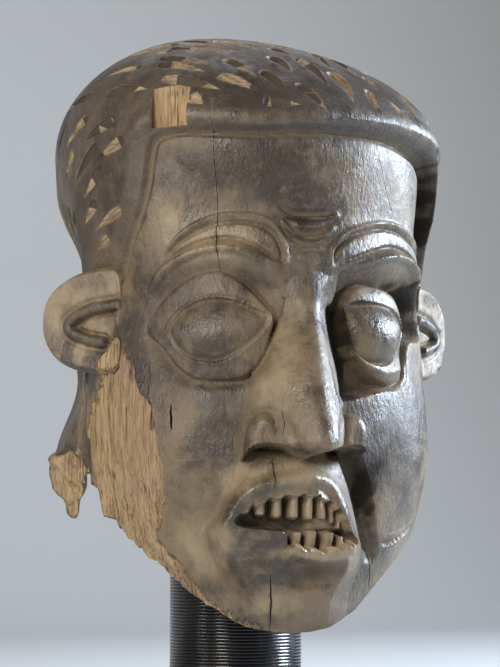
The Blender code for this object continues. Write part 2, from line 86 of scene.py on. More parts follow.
def makeLamps():
    for name, (place, watts, size, colour) in lamps.items():
        data = bpy.data.lights.new(name, "AREA")
        data.energy, data.size, data.color = watts, size, colour
        lamp = placed(name, data)
        lamp.location = place
        aim(lamp, shot["target"])
    world = bpy.data.worlds.new("softRoom")
    world.use_nodes = True
    glow = world.node_tree.nodes["Background"].inputs
    glow["Color"].default_value, glow["Strength"].default_value = room["colour"], room["strength"]
    bpy.context.scene.world = world
    bpy.context.scene.view_settings.view_transform = "Standard"


def makeBackdrop():
    # a pale floor that curves up behind
    corner, back, half = backdrop["corner"], backdrop["back"], backdrop["half"]
    turns = np.linspace(0, math.pi / 2, 17)
    profile = [(backdrop["front"], 0)]
    profile += [(back + corner * math.sin(a), corner * (1 - math.cos(a))) for a in turns]
    profile.append((back + corner, backdrop["top"]))
    mesh = bpy.data.meshes.new("paleBackdrop")
    points = [(x, y, z) for y, z in profile for x in (-half, half)]
    faces = [(i, i + 1, i + 3, i + 2) for i in range(0, 2 * len(profile) - 2, 2)]
    mesh.from_pydata(points, [], faces)
    mesh.shade_smooth()
    sheet = placed("paleBackdrop", mesh)
    material = bpy.data.materials.new("palePaper")
    material.use_nodes = True
    paper = material.node_tree.nodes["Principled BSDF"]
    paper.inputs["Base Color"].default_value = backdrop["colour"]
    paper.inputs["Roughness"].default_value = 0.85
    mesh.materials.append(material)


makeCamera()
makeLamps()
makeBackdrop()
print("camera, lamps and backdrop made")


# the carved form: parts of the height round the plain head, in millimetres
form = {
    "aside": 8.0,          # the mask sits this far to its left of the post
    "chinUp": 78.0,        # the chin over the floor
    "wall": 22.0,
    "seat": 390.0,         # the level seat in the crown, above the chin
    "shoulder": 335.0,
    "crown": 410.0,
    "squareness": 2.25,
    "arc": 2.27,           # millimetres along the head for a degree round it
    "bend": 0.72,          # the share up the head where the sides turn into the dome
}
# heights, each with the head's half width there, its depth in front and its depth behind
levels = np.array([
    (-20, 82, 110, 124), (45, 104, 126, 134), (90, 116, 133, 142), (140, 123, 135, 148),
    (200, 122, 130, 150), (250, 117, 129, 152), (300, 120, 133, 156), (335, 121, 131, 157)], float)
levelFits = [np.polyfit(levels[:, 0] / 100, levels[:, k], 5) for k in (1, 2, 3)]
# how high the lower edge runs round the head, from the middle of the back
lowerEdge = np.array([
    (-180, 124), (-150, 121), (-128, 115), (-116, 108), (-108, 88), (-100, 72), (-90, 68), (-79, 68),
    (-75, 74), (-70, 70), (-66, 62), (-62, 58), (-58, 54.6), (-53.9, 48.5), (-48.1, 43.5), (-45.5, 37),
    (-41.9, 32), (-37.4, 26), (-33.8, 21.7), (-31.4, 18), (-27, 12.9), (-22.8, 8), (-18, 3.5), (-11, 1),
    (-5, 0), (2, 0), (9, 3), (20, 14), (28, 28), (38, 45), (48, 60), (57, 73), (65, 85), (80, 98),
    (100, 110), (125, 117), (150, 122), (180, 124),
], float)


def ease(x, start, end):
    k = np.clip((x - start) / (end - start), 0, 1)
    return k * k * (3 - 2 * k)


def bump(x, width):
    k = np.clip(np.abs(x) / width, 0, 1)
    return (1 - k * k) ** 2


def hashed(*keys):
    # a steady number from 0 to 1 for whole-number places
    mixed = np.zeros(np.broadcast(*keys).shape)
    for key, weight in zip(keys, (127.1, 311.7, 74.7)):
        mixed = mixed + key * weight
    return np.modf(np.abs(np.sin(mixed) * 43758.5453))[0]


def softNoise(x, y, seed=0):
    # smooth random heights from -1 to 1
    x0, y0 = np.floor(x), np.floor(y)
    u, v = ease(x - x0, 0, 1), ease(y - y0, 0, 1)
    corner = [hashed(x0 + i, y0 + j, seed) for i in (0, 1) for j in (0, 1)]
    low = corner[0] * (1 - v) + corner[1] * v
    high = corner[2] * (1 - v) + corner[3] * v
    return 2 * (low * (1 - u) + high * u) - 1


def smoothLine(points, count=80):
    p = np.array([(a * form["arc"], z) for a, z in points], float)
    p = np.vstack([2 * p[0] - p[1], p, 2 * p[-1] - p[-2]])
    k = np.linspace(0, 1, max(2, count // (len(p) - 3)), endpoint=False)[:, None]
    rows = []
    for a, b, c, d in zip(p, p[1:], p[2:], p[3:]):
        rows.append(b + 0.5 * k * (c - a + k * (2 * a - 5 * b + 4 * c - d + k * (3 * (b - c) + d - a))))
    return np.vstack(rows + [p[-2:-1]])


def ringLine(points, count=80):
    step = max(2, count // len(points))
    wide = smoothLine(points[-2:] + points + points[:3], step * (len(points) + 4))
    return wide[2 * step:-2 * step - 1]


def toLine(s, z, line, closed=False):
    # distance, share along the line, and which side
    ends = np.roll(line, -1, 0) if closed else line[1:]
    best, share, side = np.full(s.shape, 1e9), np.zeros(s.shape), np.zeros(s.shape)
    for i, (a, b) in enumerate(zip(line, ends)):
        run = b - a
        if not run.any():
            continue
        ds, dz = s - a[0], z - a[1]
        k = np.clip((ds * run[0] + dz * run[1]) / (run @ run), 0, 1)
        d = np.hypot(ds - k * run[0], dz - k * run[1])
        near = d < best
        best[near] = d[near]
        share[near] = ((i + k) / len(ends))[near]
        side[near] = np.sign(run[0] * dz - run[1] * ds)[near]
    return best, share, side


def toRing(s, z, ring):
    # distance to a closed line, negative inside
    d = toLine(s, z, ring, True)[0]
    within = np.zeros(s.shape, bool)
    for (s0, z0), (s1, z1) in zip(ring, np.roll(ring, -1, 0)):
        if z0 != z1:
            within ^= ((z0 > z) != (z1 > z)) & (s < s0 + (z - z0) * (s1 - s0) / (z1 - z0))
    return np.where(within, -d, d)


def around(s, z, points, margin=16):
    # only the places near these points, to save time
    p = np.array(points, float)
    low, high = p.min(0) - margin / 2, p.max(0) + margin / 2
    arc = form["arc"]
    across = (s > (low[0] - margin / 2) * arc) & (s < (high[0] + margin / 2) * arc)
    return across & (z > low[1] - margin) & (z < high[1] + margin)


def headRadius(turn, z):
    half, front, back = (np.polyval(fit, z / 100) for fit in levelFits)
    depth = np.where(np.cos(turn) > 0, front, back)
    n = form["squareness"]
    return (np.abs(np.sin(turn) / half) ** n + np.abs(np.cos(turn) / depth) ** n) ** (-1 / n)


def plainHead(turn, share):
    # share runs from 0 at the lower edge to 1 at the crown
    bend = form["bend"]
    deg = np.degrees(turn)
    low = np.interp(deg, lowerEdge[:, 0], lowerEdge[:, 1])
    torn = np.interp(deg, [-68, -62, -28, -22], [0, 1, 1, 0])
    low = low + 1.1 * softNoise(deg / 1.1, 0 * deg, 61) * torn
    tip = np.clip((share - bend) / (1 - bend), 0, 1) * np.pi / 2
    shoulder, crown = form["shoulder"], form["crown"]
    side, dome = low + (shoulder - low) * share / bend, shoulder + (crown - shoulder) * np.sin(tip)
    z = np.where(share < bend, side, dome)
    r = headRadius(turn, z) * np.cos(tip) ** 0.86
    x, y = r * np.sin(turn) - 5 * np.sin(tip), -r * np.cos(turn)
    point = np.stack([x, y, z + (0.055 * y - 0.035 * x) * np.sin(tip)], -1)
    out = np.stack([np.sin(turn) * np.cos(tip), -np.cos(turn) * np.cos(tip), np.sin(tip)], -1)
    return point, out


# the eyes: an almond ball inside a sloping lid
eyes = [
    {
        "deep": 7.5, "base": 0.8, "lens": 8.5, "fall": 3.2, "middle": (-27.5, 196.5), "axes": (34, 21.5),
        "rim": 0.75,
        "lid": [
            (-48.5, 200), (-44.5, 217), (-38, 229.5), (-31, 237), (-25, 237.5), (-19, 230), (-14, 219),
            (-9.6, 207), (-10.8, 193), (-13.2, 179), (-16.8, 168.5), (-22, 164), (-32, 165), (-38, 174),
            (-43, 187),
        ],
        "ball": [
            (-40, 199), (-35.8, 211), (-29.5, 218), (-22.5, 217.5), (-16.8, 213), (-11.2, 206.5),
            (-14, 195.5), (-18.2, 186), (-23.8, 178), (-29.5, 177), (-34.5, 181), (-38, 189),
        ],
    },
    {
        "deep": 15.0, "base": -4.5, "lens": 11.5, "fall": 3.0, "middle": (25.5, 199.5), "axes": (29, 22),
        "rim": 0.9,
        "lid": [
            (12.4, 213), (13, 221), (16.5, 228.6), (20, 231.6), (25.6, 232.4), (31.1, 230.4), (36, 225.6),
            (39, 216), (39, 203), (37.4, 190), (37, 178), (35.5, 169), (30.3, 163.5), (25.6, 164.4),
            (20.6, 171.4), (16.6, 179.6), (14.2, 192), (12.6, 204),
        ],
        "ball": [
            (13.3, 214.5), (16.4, 219.6), (21, 219.6), (27, 218.6), (32.5, 216.4), (36.3, 210.6),
            (36.8, 202), (34.6, 193), (31.6, 184.5), (27, 178.6), (20.6, 179), (17, 184.8), (14.9, 193.6),
            (13.6, 205),
        ],
    },
]
eyePit = [
    (4, 222), (8, 235), (16, 243), (28, 246), (40, 245), (50, 240), (57, 230), (60, 215), (58, 204),
    (50, 199), (42.5, 197), (38.4, 190), (36.8, 179), (35, 169.5), (30.8, 163.8), (22.7, 159.5),
    (16.4, 155.6), (5.5, 151), (3.5, 165), (3, 190),
]


def carveSockets(h, s, z):
    ds, dz = s + 25.6 * form["arc"], z - 198
    h -= eyes[0]["deep"] * ease(np.hypot(ds / 57, (dz - 3) / np.where(dz > 0, 45, 46)), 1.0, 0.6)
    near = around(s, z, eyePit, 24)
    d = toRing(s[near], z[near], ringLine(eyePit, 130))
    deg, zn = s[near] / form["arc"], z[near]
    # its lower edge is sharper than the upper one, and it is deepest at the outer end
    soft = np.interp(zn, [150, 175, 215, 240], [5, 6, 9, 17])
    soft = np.where((deg > 40) & (zn < 215), 4.5, soft)
    deep = np.interp(deg, [4, 14, 34, 43, 52, 60], [13, 15, 16, 21, 19, 12])
    h[near] -= deep * ease(d / soft, 0.35, -1.0)
    return h


def carveEyes(h, s, z):
    for k, eye in enumerate(eyes):
        near = around(s, z, eye["lid"], 12)
        sn, zn, f = s[near], z[near], h[near]
        dLid, dBall = (toRing(sn, zn, ringLine(eye[key], 110)) for key in ("lid", "ball"))
        deg = sn / form["arc"]
        depth = np.clip(-dBall / 21, 0, 1)
        ds, dz = (deg - eye["middle"][0]) * form["arc"], zn - eye["middle"][1]
        dome = 1 - (ds / eye["axes"][0]) ** 2 - (dz / eye["axes"][1]) ** 2
        edge = np.clip(1 - (1 - depth) ** 2, 0, 1) ** 0.8
        ball = eye["base"] + 1.0 + eye["lens"] * (0.25 * edge + 0.75 * np.clip(dome, 0, 1) ** 0.9)
        w = np.clip(dBall / np.maximum(dBall - dLid, 0.01), 0, 1)
        top = eye["base"] + 3.8 - eye["fall"] * w ** 1.5 + eye["rim"] * bump(dBall - 1.2, 2.2) * (1 - w)
        if k == 1:
            # a thick upper lid, and a lower one that ends in a point beside the nose
            top += 1.8 * bump(zn - 225, 8) * bump(deg - 25, 13)
            top += 3.5 * bump(w - 0.45, 0.6) * ease(zn, 186, 174)
        mixed = ball + (top - ball) * ease(dBall, -1.3, 1.3)
        mixed -= 0.5 * bump(dBall + 1.4, 2.2)
        f = f + (mixed - f) * ease(dLid, 0.8, -1.8)
        crease = ease(deg, -24, -12) if k == 0 else 0.4 + 0 * deg
        f -= 2.8 * crease * bump(dLid - 1.4, 2.4)
        h[near] = f
    return h


# each line of a brow: its height, its width, and its strength from end to end
browLines = {
    "upper": (1.5, 2.4, ([0, 0.2, 0.85, 1], [0.5, 1, 1, 1.0])),
    "below": (4.0, 4.6, ([0, 0.2, 0.85, 1], [0.3, 1, 1, 0.5])),
    "cutAbove": (-2.7, 2.5, ([0, 0.15, 0.9, 1], [0.4, 1, 1, 0.7])),
    "cutBelow": (-2.3, 2.2, ([0, 0.15, 0.9, 1], [0.4, 1, 1, 0.7])),
}
# the brows: a band between two cuts, with a raised line above and a shiny one below
brows = [
    {
        "upper": [
            (-43, 243), (-40, 254.5), (-36.1, 263), (-31.6, 269.5), (-25.5, 274.3), (-18.2, 275),
            (-12.5, 272), (-8.8, 264.5), (-6.4, 252), (-6.3, 243),
        ],
        "cutAbove": [
            (-42, 247), (-37.1, 257.2), (-31.6, 264.5), (-27, 268.6), (-19.7, 269.8), (-13.8, 267.5),
            (-10, 261.5), (-7.8, 251.5), (-7.6, 245),
        ],
        "cutBelow": [
            (-42.5, 243), (-36.8, 251), (-31.2, 256.6), (-25.4, 259), (-19.6, 257.8), (-14.5, 252.4),
            (-10.6, 246.3), (-7.2, 243.6),
        ],
        "below": [
            (-47, 228), (-43, 237.5), (-38.5, 244), (-33, 249.5), (-27, 252.5), (-21, 251.8), (-16, 247),
        ],
    },
    {
        "upper": [
            (8, 244.5), (8, 253), (11.5, 263.5), (17.4, 270.2), (25.7, 275), (33.5, 275.5), (43, 272),
            (52, 266), (60, 256),
        ],
        "cutAbove": [
            (8.2, 245), (9.2, 253), (13, 261.5), (18.5, 266.8), (26, 270.8), (34, 271), (42, 267.5),
            (50, 261), (57, 253),
        ],
        "cutBelow": [
            (8.6, 243.8), (15.4, 248.7), (23.8, 255.8), (31.5, 259.3), (38.5, 258), (46, 253.5),
            (54, 248),
        ],
        "below": [(16, 241.5), (22, 247.5), (30, 252.5), (37.5, 252.5), (45, 248), (52, 241)],
    },
]
# the furrows between the brows
frownLines = [
    [(-9.2, 278.7), (-6.8, 275.7), (-4, 273.5), (0.7, 273.3), (5.7, 274.4), (10.1, 277.1)],
    [(-7.2, 272), (-5.8, 266.3), (-3.7, 261.9), (0.5, 260.4), (4.7, 262.1), (8.6, 268.3)],
    [(-5.2, 253.4), (-0.8, 251.7), (4.2, 253.3)],
    [(-7.8, 289), (-6.4, 293), (-3.6, 295.2), (-1.2, 296)],
]


def carveBrows(h, s, z):
    deg = s / form["arc"]
    h += 4 * bump(z - 246, 34) * ease(np.abs(deg), 68, 50) * ease(z, 205, 245)
    for brow in brows:
        near = around(s, z, brow["upper"] + brow["below"], 14)
        sn, zn, f = s[near], z[near], h[near]
        for key, (tall, width, taper) in browLines.items():
            d, share, _ = toLine(sn, zn, smoothLine(brow[key]))
            f += tall * bump(d, width) * np.interp(share, *taper)
        h[near] = f
    near = around(s, z, frownLines[0] + frownLines[2] + frownLines[3], 12)
    sn, zn = s[near], z[near]
    for line, strength in zip(frownLines, (1.0, 1.15, 0.7, 0.45)):
        d, share, side = toLine(sn, zn, smoothLine(line))
        taper = np.sin(np.pi * np.clip(share, 0.01, 0.99)) ** 0.5 * strength
        # each line is the lip of a shallow scoop
        h[near] += taper * (2.4 * bump(d, 2.0) - 3.0 * np.where(side > 0, bump(d - 3.2, 4.6), 0)
                            - 1.6 * np.where(side < 0, bump(d - 2.6, 3.2), 0))
    return h


# each of the nose's rows: height, ridge, left half width, right half width, rise
nose = {
    "rightCurve": ([110, 135, 160], [1.75, 1.45, 1.15]),
    "rows": np.array([
        (106, -1.2, 16, 15, 39), (114, -1.4, 27, 20, 45), (122, -1.4, 33, 23, 47),
        (135, -1.3, 36, 26, 44), (150, -1.2, 37.5, 27, 38), (161, -1.0, 38, 26.5, 34),
        (172, -0.8, 35, 25, 29), (182, -0.4, 31, 22, 24), (192, 0.0, 26, 19, 18), (205, 0.8, 21, 15, 10),
        (218, 1.3, 18, 13, 4), (240, 1.5, 14, 10, 0),
    ], float),
    "leftWing": [
        (-18.6, 108), (-18.5, 116), (-18.3, 124), (-17.8, 132), (-16.3, 139.4), (-14, 143),
        (-11.6, 142.6), (-9.8, 138.7), (-8.4, 131.5), (-7.4, 124.6), (-6.6, 118), (-6.6, 108),
    ],
    "rightWing": [
        (3, 108), (3, 122), (3.6, 134), (5.8, 142), (8.6, 144), (11.4, 141.5), (13.1, 134), (13.4, 124),
        (13.2, 108),
    ],
    "base": [
        (-20, 112), (-18.6, 112.5), (-16.5, 119), (-14.4, 121), (-12.1, 121.5), (-8.6, 119.6),
        (-6.6, 116.4), (-4, 115.2), (-1.4, 116), (1, 117), (5, 120), (9, 120.5), (12, 119), (14, 115),
    ],
}


def carveNose(h, s, z):
    near = (np.abs(s) < 75) & (z > 95) & (z < 250)
    sn, zn, f = s[near], z[near], h[near]
    deg = sn / form["arc"]
    rows = nose["rows"]
    ridge, left, right, rise = (np.interp(zn, rows[:, 0], rows[:, k]) for k in (1, 2, 3, 4))
    ds = sn - ridge * form["arc"]
    across = np.clip(np.abs(ds) / np.where(ds < 0, left, right), 0, 1)
    across = np.sqrt(across ** 2 + 0.02) - 0.1414 * (1 - across)
    across = np.clip(across, 0, 1) ** np.where(ds < 0, 1.3, np.interp(zn, *nose["rightCurve"]))
    body = rise * (1 - across)
    line = smoothLine(nose["base"])
    base = np.interp(sn, line[:, 0], line[:, 1])
    # the middle runs softly into the upper lip
    soft = 1.6 + 5 * bump(deg + 3.6, 3.4)
    under = ease(zn - base, -soft, 0.6 * soft)
    # the brow runs into the nose on both sides
    body += 4 * bump(ds, 26) * bump(zn - 232, 24)
    for key, proud, edge in (("leftWing", 24.5, 8.0), ("rightWing", 26.0, 8.0)):
        d = toRing(sn, zn, ringLine(nose[key], 90))
        cushion = np.sqrt(np.clip(1 - (1 - np.clip(-d / edge, 0, 1)) ** 2, 0, 1))
        wing = proud * (0.35 * ease(d, 1.2, -1.2) + 0.65 * cushion)
        # a soft valley between the wing and the tip
        body -= 2.6 * bump(d - 0.5, 3.2)
        body = np.maximum(body, wing)
    body *= under
    f = np.maximum(f, np.where(body > 0.5, body + 0.3 * np.minimum(f, 0), -99))
    # dark hollows under the wings
    for at, deep, tall in ((-13.0, 4.0, 2.2), (7.5, 8.0, 3.6)):
        f -= deep * bump(np.hypot((sn - at * form["arc"]) / 10.5, (zn - base + 1.8) / tall), 1.0)
    h[near] = f
    return h


# each tooth: middle, half width in degrees, and its end
mouth = {
    "facet": ([40, 60, 90, 125], [19, 25, 29, 24]),
    "left": [
        (20, -20), (45, -27), (66, -29.5), (76.5, -25.6), (90, -22.8), (103, -19.6), (114, -17.6),
        (124, -15),
    ],
    "right": [(20, 15), (45, 18.6), (57, 18.2), (64, 16.6), (80, 13.8), (97, 11.0), (110, 9.2), (124, 8)],
    "opening": [
        (-20.2, 71.5), (-18.6, 77), (-16.3, 81.4), (-13.9, 84.4), (-10.5, 87.4), (-6.5, 88.8),
        (-2.1, 89.2), (2, 87.2), (5.0, 82.4), (6.9, 77), (9.1, 68.8), (11.4, 60.0), (10.2, 57.4),
        (6.7, 55.4), (2.4, 53.4), (-1.4, 53.2), (-4.9, 55), (-6.9, 57.4), (-7.3, 63.5), (-9, 66.8),
        (-12.6, 67.2), (-17, 68.4),
    ],
    "upperLip": [
        (-24, 66), (-23.4, 74), (-21.6, 82), (-19.6, 88), (-16.6, 92.4), (-12.6, 96.2), (-8, 98.8),
        (-3, 100.2), (1.4, 99.4), (4.6, 95), (6.6, 87.4), (8.2, 79), (10.2, 69), (12, 61),
    ],
    "lowerLip": [(-7.4, 55.4), (-4, 52), (0, 50.0), (4.2, 50.2), (7.8, 53.2), (11.2, 57.6)],
    "upperTeeth": [
        (-18.0, 1.1, 77), (-14.4, 1.75, 75.4), (-10.0, 1.6, 74), (-5.6, 1.65, 73.6), (-1.6, 1.5, 72.8),
        (2.1, 1.3, 73), (5.1, 0.85, 71), (7.2, 0.7, 67),
    ],
    "lowerTeeth": [
        (-4.9, 1.55, 66.4), (-1.0, 1.7, 67.2), (3.7, 1.75, 66.4), (7.2, 1.0, 64), (9.4, 0.8, 61.5),
    ],
}


def carveMouth(h, s, z):
    near = (np.abs(s) < 95) & (z < 140)
    sn, zn, f = s[near], z[near], h[near]
    left, right = (np.interp(zn, *np.array(mouth[k], float).T) * form["arc"] for k in ("left", "right"))
    # the right of the muzzle is a flat facet
    facet = np.clip((right - sn + 1.5) / np.interp(zn, *mouth["facet"]), 0, 1) ** 0.92
    inside = np.minimum(ease(sn - left, -5, 14), facet)
    block = inside * (7 + 14 * bump(zn - 72, 66)) * ease(zn, 126, 108)
    f += block * np.interp(zn, [0, 20, 40], [0.55, 0.72, 1.0])
    h[near] = f
    return h


def carveLips(h, s, z, marks):
    near = (s > -85) & (s < 60) & (z > 15) & (z < 130)
    sn, zn, f = s[near], z[near], h[near]
    deg = sn / form["arc"]
    d, share, _ = toLine(sn, zn, smoothLine(mouth["upperLip"]))
    f += 5.0 * bump(d, 7.5) * np.interp(share, [0, 0.1, 0.92, 1], [0.2, 1, 1, 0.5])
    d, share, _ = toLine(sn, zn, smoothLine(mouth["lowerLip"]))
    lip = np.clip(1 - (d / 5.2) ** 4, 0, 1) * np.interp(share, [0, 0.06, 0.92, 1], [0.1, 1, 1, 0.5])
    f += 8.5 * lip
    f -= 9 * bump(np.hypot((deg + 0.5) * form["arc"] / 27, (zn - 38) / 12), 1.0) * (1 - lip)
    # the worn flat below the left half of the mouth
    f -= 4.5 * bump(np.hypot((deg + 14) / 11, (zn - 55) / 16), 1.0)
    opening = 21 * ease(toRing(sn, zn, ringLine(mouth["opening"], 140)), 1.0, -1.6)
    teeth = np.zeros(sn.shape)
    for at, half, end in mouth["upperTeeth"]:
        across = np.clip(np.abs(deg - at) / half, 0, 1)
        reach = ease(zn, end - 1.8 + 1.4 * across ** 2, end + 1.2 + 1.4 * across ** 2)
        teeth = np.maximum(teeth, 15.5 * np.sqrt(1 - across ** 2.6) ** 0.8 * reach)
    for at, half, end in mouth["lowerTeeth"]:
        across = np.clip(np.abs(deg - at) / half, 0, 1)
        reach = ease(zn, end + 1.0, end - 1.4) * (zn < 69)
        teeth = np.maximum(teeth, 18.5 * np.sqrt(1 - across ** 5) * reach)
    # gum behind the right teeth
    gum = 9.5 * ease(deg, -4.5, 0.5) * ease(zn, 63, 68) * (zn > 62) * ease(zn, 79, 74)
    teeth = np.maximum(teeth, gum)
    f -= np.maximum(opening - teeth, 0)
    h[near] = f
    # teeth, gum and lower lip are painted a lighter tan, partly the worn wood's own tone and partly a
    # painted highlight where the light catches them
    marks["toothTanAndHighlight"] = np.zeros(s.shape)
    marks["toothTanAndHighlight"][near] = np.clip(np.minimum(teeth, opening) / 12, 0, 1) + 0.7 * lip * (teeth < 1)
    return h


cheekValley = [(10, 124), (12.4, 112), (15.2, 98), (17.8, 80), (20.4, 64), (23, 52)]
# each fold: its line, its height and its width
cheekFolds = [
    ([(26.5, 61), (33.5, 63.5), (41, 69), (48, 76)], 1.3, 3.6),
    ([(27, 57.2), (33, 60), (40, 65.8), (46, 71)], -2.4, 1.9),
    ([(25.8, 53.4), (32.5, 56), (39.7, 61), (46, 66)], 1.0, 3.0),
]
# outlines of the broken wood and of the end of the piece that hangs behind it
brokenWood = [
    (-62, 199), (-59.6, 193), (-58, 186), (-54.2, 179), (-53.4, 168), (-50.5, 158.6), (-46.6, 151),
    (-45.8, 140), (-43, 119.5), (-42.3, 103), (-42, 87), (-44.2, 73.5), (-46.4, 63.5), (-44.3, 53.6),
    (-40.6, 47), (-37, 38), (-33, 27.5), (-27, 17), (-20, 8), (-14, 3), (-13, -20), (-83, -20),
    (-82.5, 100), (-82.5, 122), (-79.5, 139), (-76.5, 153), (-73.5, 161), (-71, 170), (-69, 180),
    (-65.4, 189),
]
hangingEnd = [
    (-122, 108), (-110, 118), (-99, 124), (-92, 122), (-87, 124), (-83.6, 118), (-83.6, 60), (-122, 60),
]


def carveCheeks(h, s, z):
    deg = s / form["arc"]
    h += 5 * np.exp(-((deg - 44) / 21) ** 2 - ((z - 108) / 50) ** 2)            # left cheek
    h += 3 * np.exp(-((deg + 40) / 20) ** 2 - ((z - 125) / 50) ** 2)            # right cheek
    h += 2.2 * np.exp(-((deg + 37.5) / 6) ** 2 - ((z - 122) / 30) ** 2)         # its edge by the broken wood
    h -= 4 * np.exp(-((np.abs(deg) - 62) / 10) ** 2 - ((z - 262) / 30) ** 2)    # temples
    h += 7 * np.exp(-((deg - 4) / 17) ** 2 - ((z - 12) / 15) ** 2)              # chin
    for line, tall, width in cheekFolds:
        near = around(s, z, line)
        d, share, _ = toLine(s[near], z[near], smoothLine(line))
        h[near] += tall * bump(d, width) * np.interp(share, [0, 0.2, 0.8, 1], [0.1, 1, 1, 0.1])
    # the sides stand wider below the ears, and the head is drawn in under the hair
    h += np.where(deg < 0, 12, 10) * ease(np.abs(deg), 76, 94) * ease(z, 178, 118)
    h += 8 * ease(-deg, 84, 96) * ease(-deg, 150, 120) * (ease(z, 126, 113) - 0.6 * bump(z - 165, 46))
    h -= 14 * bump(z - 256, 58) * ease(np.abs(deg), 80, 102)
    return h


def carveValley(h, s, z):
    near = around(s, z, cheekValley, 24)
    d, share, _ = toLine(s[near], z[near], smoothLine(cheekValley))
    h[near] -= 10 * bump(d, 9.5) * np.interp(share, [0, 0.15, 0.8, 1], [0.2, 1, 1, 0.4])
    return h


def carveBroken(h, s, z, marks):
    # split wood: long fibres in steps, sunk under the old skin
    d = toRing(s, z, ringLine(brokenWood, 160))
    jag = 2.6 * softNoise(s / 3.1, z / 21, 3) + 1.6 * softNoise(s / 1.5, z / 9, 5)
    d = d + jag * ease(np.abs(d), 26, 4)
    marks["raw"] = np.clip(0.5 - d / 6, 0, 1)
    inside = ease(d, 0.3, -1.6)
    deep = 3.6 + 2.4 * ease(d, -4, -26)
    plank = np.round(2.2 * softNoise(s / 9.0, z / 70, 8) + 1.3 * softNoise(s / 4.0, z / 44, 9)) * 0.75
    fibre = 0.55 * softNoise(s / 1.9, z / 34, 11) + 0.4 * softNoise(s / 0.9 + 40, z / 18, 12)
    h -= inside * (deep + plank + fibre)
    # the gap beside the hanging piece, and its lumpy end
    deg = s / form["arc"]
    gap = bump(deg + 82.4, 2.1) * ease(z, 204, 170)
    h -= 12 * gap
    marks["raw"] *= 1 - ease(gap, 0.35, 0.8)
    near = around(s, z, hangingEnd, 10)
    d = toRing(s[near], z[near], ringLine(hangingEnd))
    d = d + 2.0 * softNoise(s[near] / 4, z[near] / 6, 15)
    lumps = ease(d, 0.5, -3.0)
    big, small = softNoise(s[near] / 7, z[near] / 6, 16), softNoise(s[near] / 3, z[near] / 3.4, 17)
    h[near] += lumps * (1.0 + 2.4 * big + 1.2 * small)
    marks["raw"][near] = np.maximum(marks["raw"][near], 0.74 * ease(d, 1.5, -3.5))
    return h


# round the head: how far the forehead fills up to the hair, and the width and crease of the hair's edge
hair = {
    "fill": ([-90, -75, -62, -45, -25, 0, 20, 36, 60], [0, 5, 9, 10, 8, 7, 4, 1, 0]),
    "width": ([-70, -44, -38, 0, 22, 45, 56, 62], [16, 14, 8, 7, 9, 9, 4, 3.5]),
    "crease": (
        [-110, -80, -60, -44, -30, 10, 30, 52, 64, 75, 110], [0, 1, 3.5, 4.0, 1.6, 1.6, 2.5, 7, 9, 5, 0],
    ),
    "creaseWidth": ([-60, -44, -36, 20, 45, 58], [7, 5, 2.6, 2.6, 5, 9]),
    "thick": ([200, 245, 290], [5, 8, 14.5]),
}
# its edge over the forehead, down each side and round behind the ears
hairLine = [
    (-71, 238), (-63.5, 241), (-58, 252.5), (-52.7, 268), (-49.2, 284), (-46.8, 300), (-45.8, 313.5),
    (-44.6, 324), (-42, 329), (-36, 330), (-24, 328.2), (-14, 327.6), (-4, 329.6), (8, 331.2),
    (22, 331.6), (36, 330), (48, 327), (57.5, 320.5), (60.5, 306), (61.5, 285), (64, 264), (73, 246),
]


def hairInside(s, z):
    deg = np.abs(s / form["arc"])
    near = (deg < 95) & (z > 180) & (z < 400)
    edge = np.where(deg > 70, 60.0, -60.0)
    d, _, side = toLine(s[near], z[near], smoothLine(hairLine, 160))
    edge[near] = np.where(side > 0, d, -d)
    back = z - np.interp(deg, [66, 90, 120, 180], [240, 222, 205, 196])
    edge = np.where(deg > 84, back, np.where(deg > 66, np.minimum(edge, back), edge))
    edge = np.where(z > 399, 60, np.where(z < 181, -60, edge))
    return np.clip(edge, -60, 60)


def carveHair(h, s, z, marks):
    deg = s / form["arc"]
    edge = hairInside(s, z)
    thick = np.interp(z, *hair["thick"])
    # the forehead comes up to the hair on the left, and the hair stands proud on the right
    fill = np.interp(deg, *hair["fill"]) * ease(z, 236, 275)
    width = np.interp(deg, *hair["width"])
    rise = ease(edge / width, -0.15, 1)
    h += fill * ease(edge, -55, -3) * (1 - rise) + thick * rise
    h += 2.0 * bump(edge - 12, 9) * ease(np.abs(deg), 100, 70) * ease(z, 325, 338)
    crease = np.interp(deg, *hair["crease"])
    wide = np.interp(deg, *hair["creaseWidth"])
    h -= crease * bump(edge + 0.45 * wide, wide)
    marks["hair"] = ease(edge, -0.5, 1.5)
    return h


# where the wood is paler (above 0) or darker: dust and polished patina, and also painted light and shade,
# paler as painted light on the left sides of the nose and brow and as a painted highlight on the lower lip,
# darker as painted shade in the deep pits, gaps and valleys: degrees, height, width, half height, strength
stainsAndPaintedLight = [
    (-20, 308, 14, 13, -0.9), (-6, 300, 8, 15, -0.6), (-14, 285, 8, 12, -0.35), (-37, 290, 8, 30, 0.35),
    (-27, 259, 14, 12, 0.95), (-9, 180, 6, 36, 0.75), (-14, 150, 4, 14, 0.6), (-20, 100, 6, 12, 1.0),
    (-4, 104, 9, 9, 0.95), (-31, 55, 12, 20, 0.8), (-25, 140, 8, 28, -0.8), (-28, 194, 9, 13, -0.5),
    (23, 122, 14, 34, -0.6), (-2, 38, 9, 7, -1.0), (-10, 18, 12, 10, 0.6), (-20, 358, 26, 22, -0.5),
    (18, 360, 38, 30, -0.9), (-12, 222, 6, 9, 0.5), (-57, 205, 5, 30, -0.4), (50, 222, 9, 16, -1.0),
    (62, 300, 12, 44, -0.9), (-82.4, 140, 1.4, 50, -1.0), (1, 51.5, 10, 5, 1.6), (-40, 272, 5, 12, 0.5),
    (12, 175, 3.5, 25, -1.0), (-1, 215, 5, 16, 0.4), (-75, 300, 18, 40, -0.2), (-38, 225, 7, 14, -0.4),
    (18, 96, 4, 24, -0.9),
]
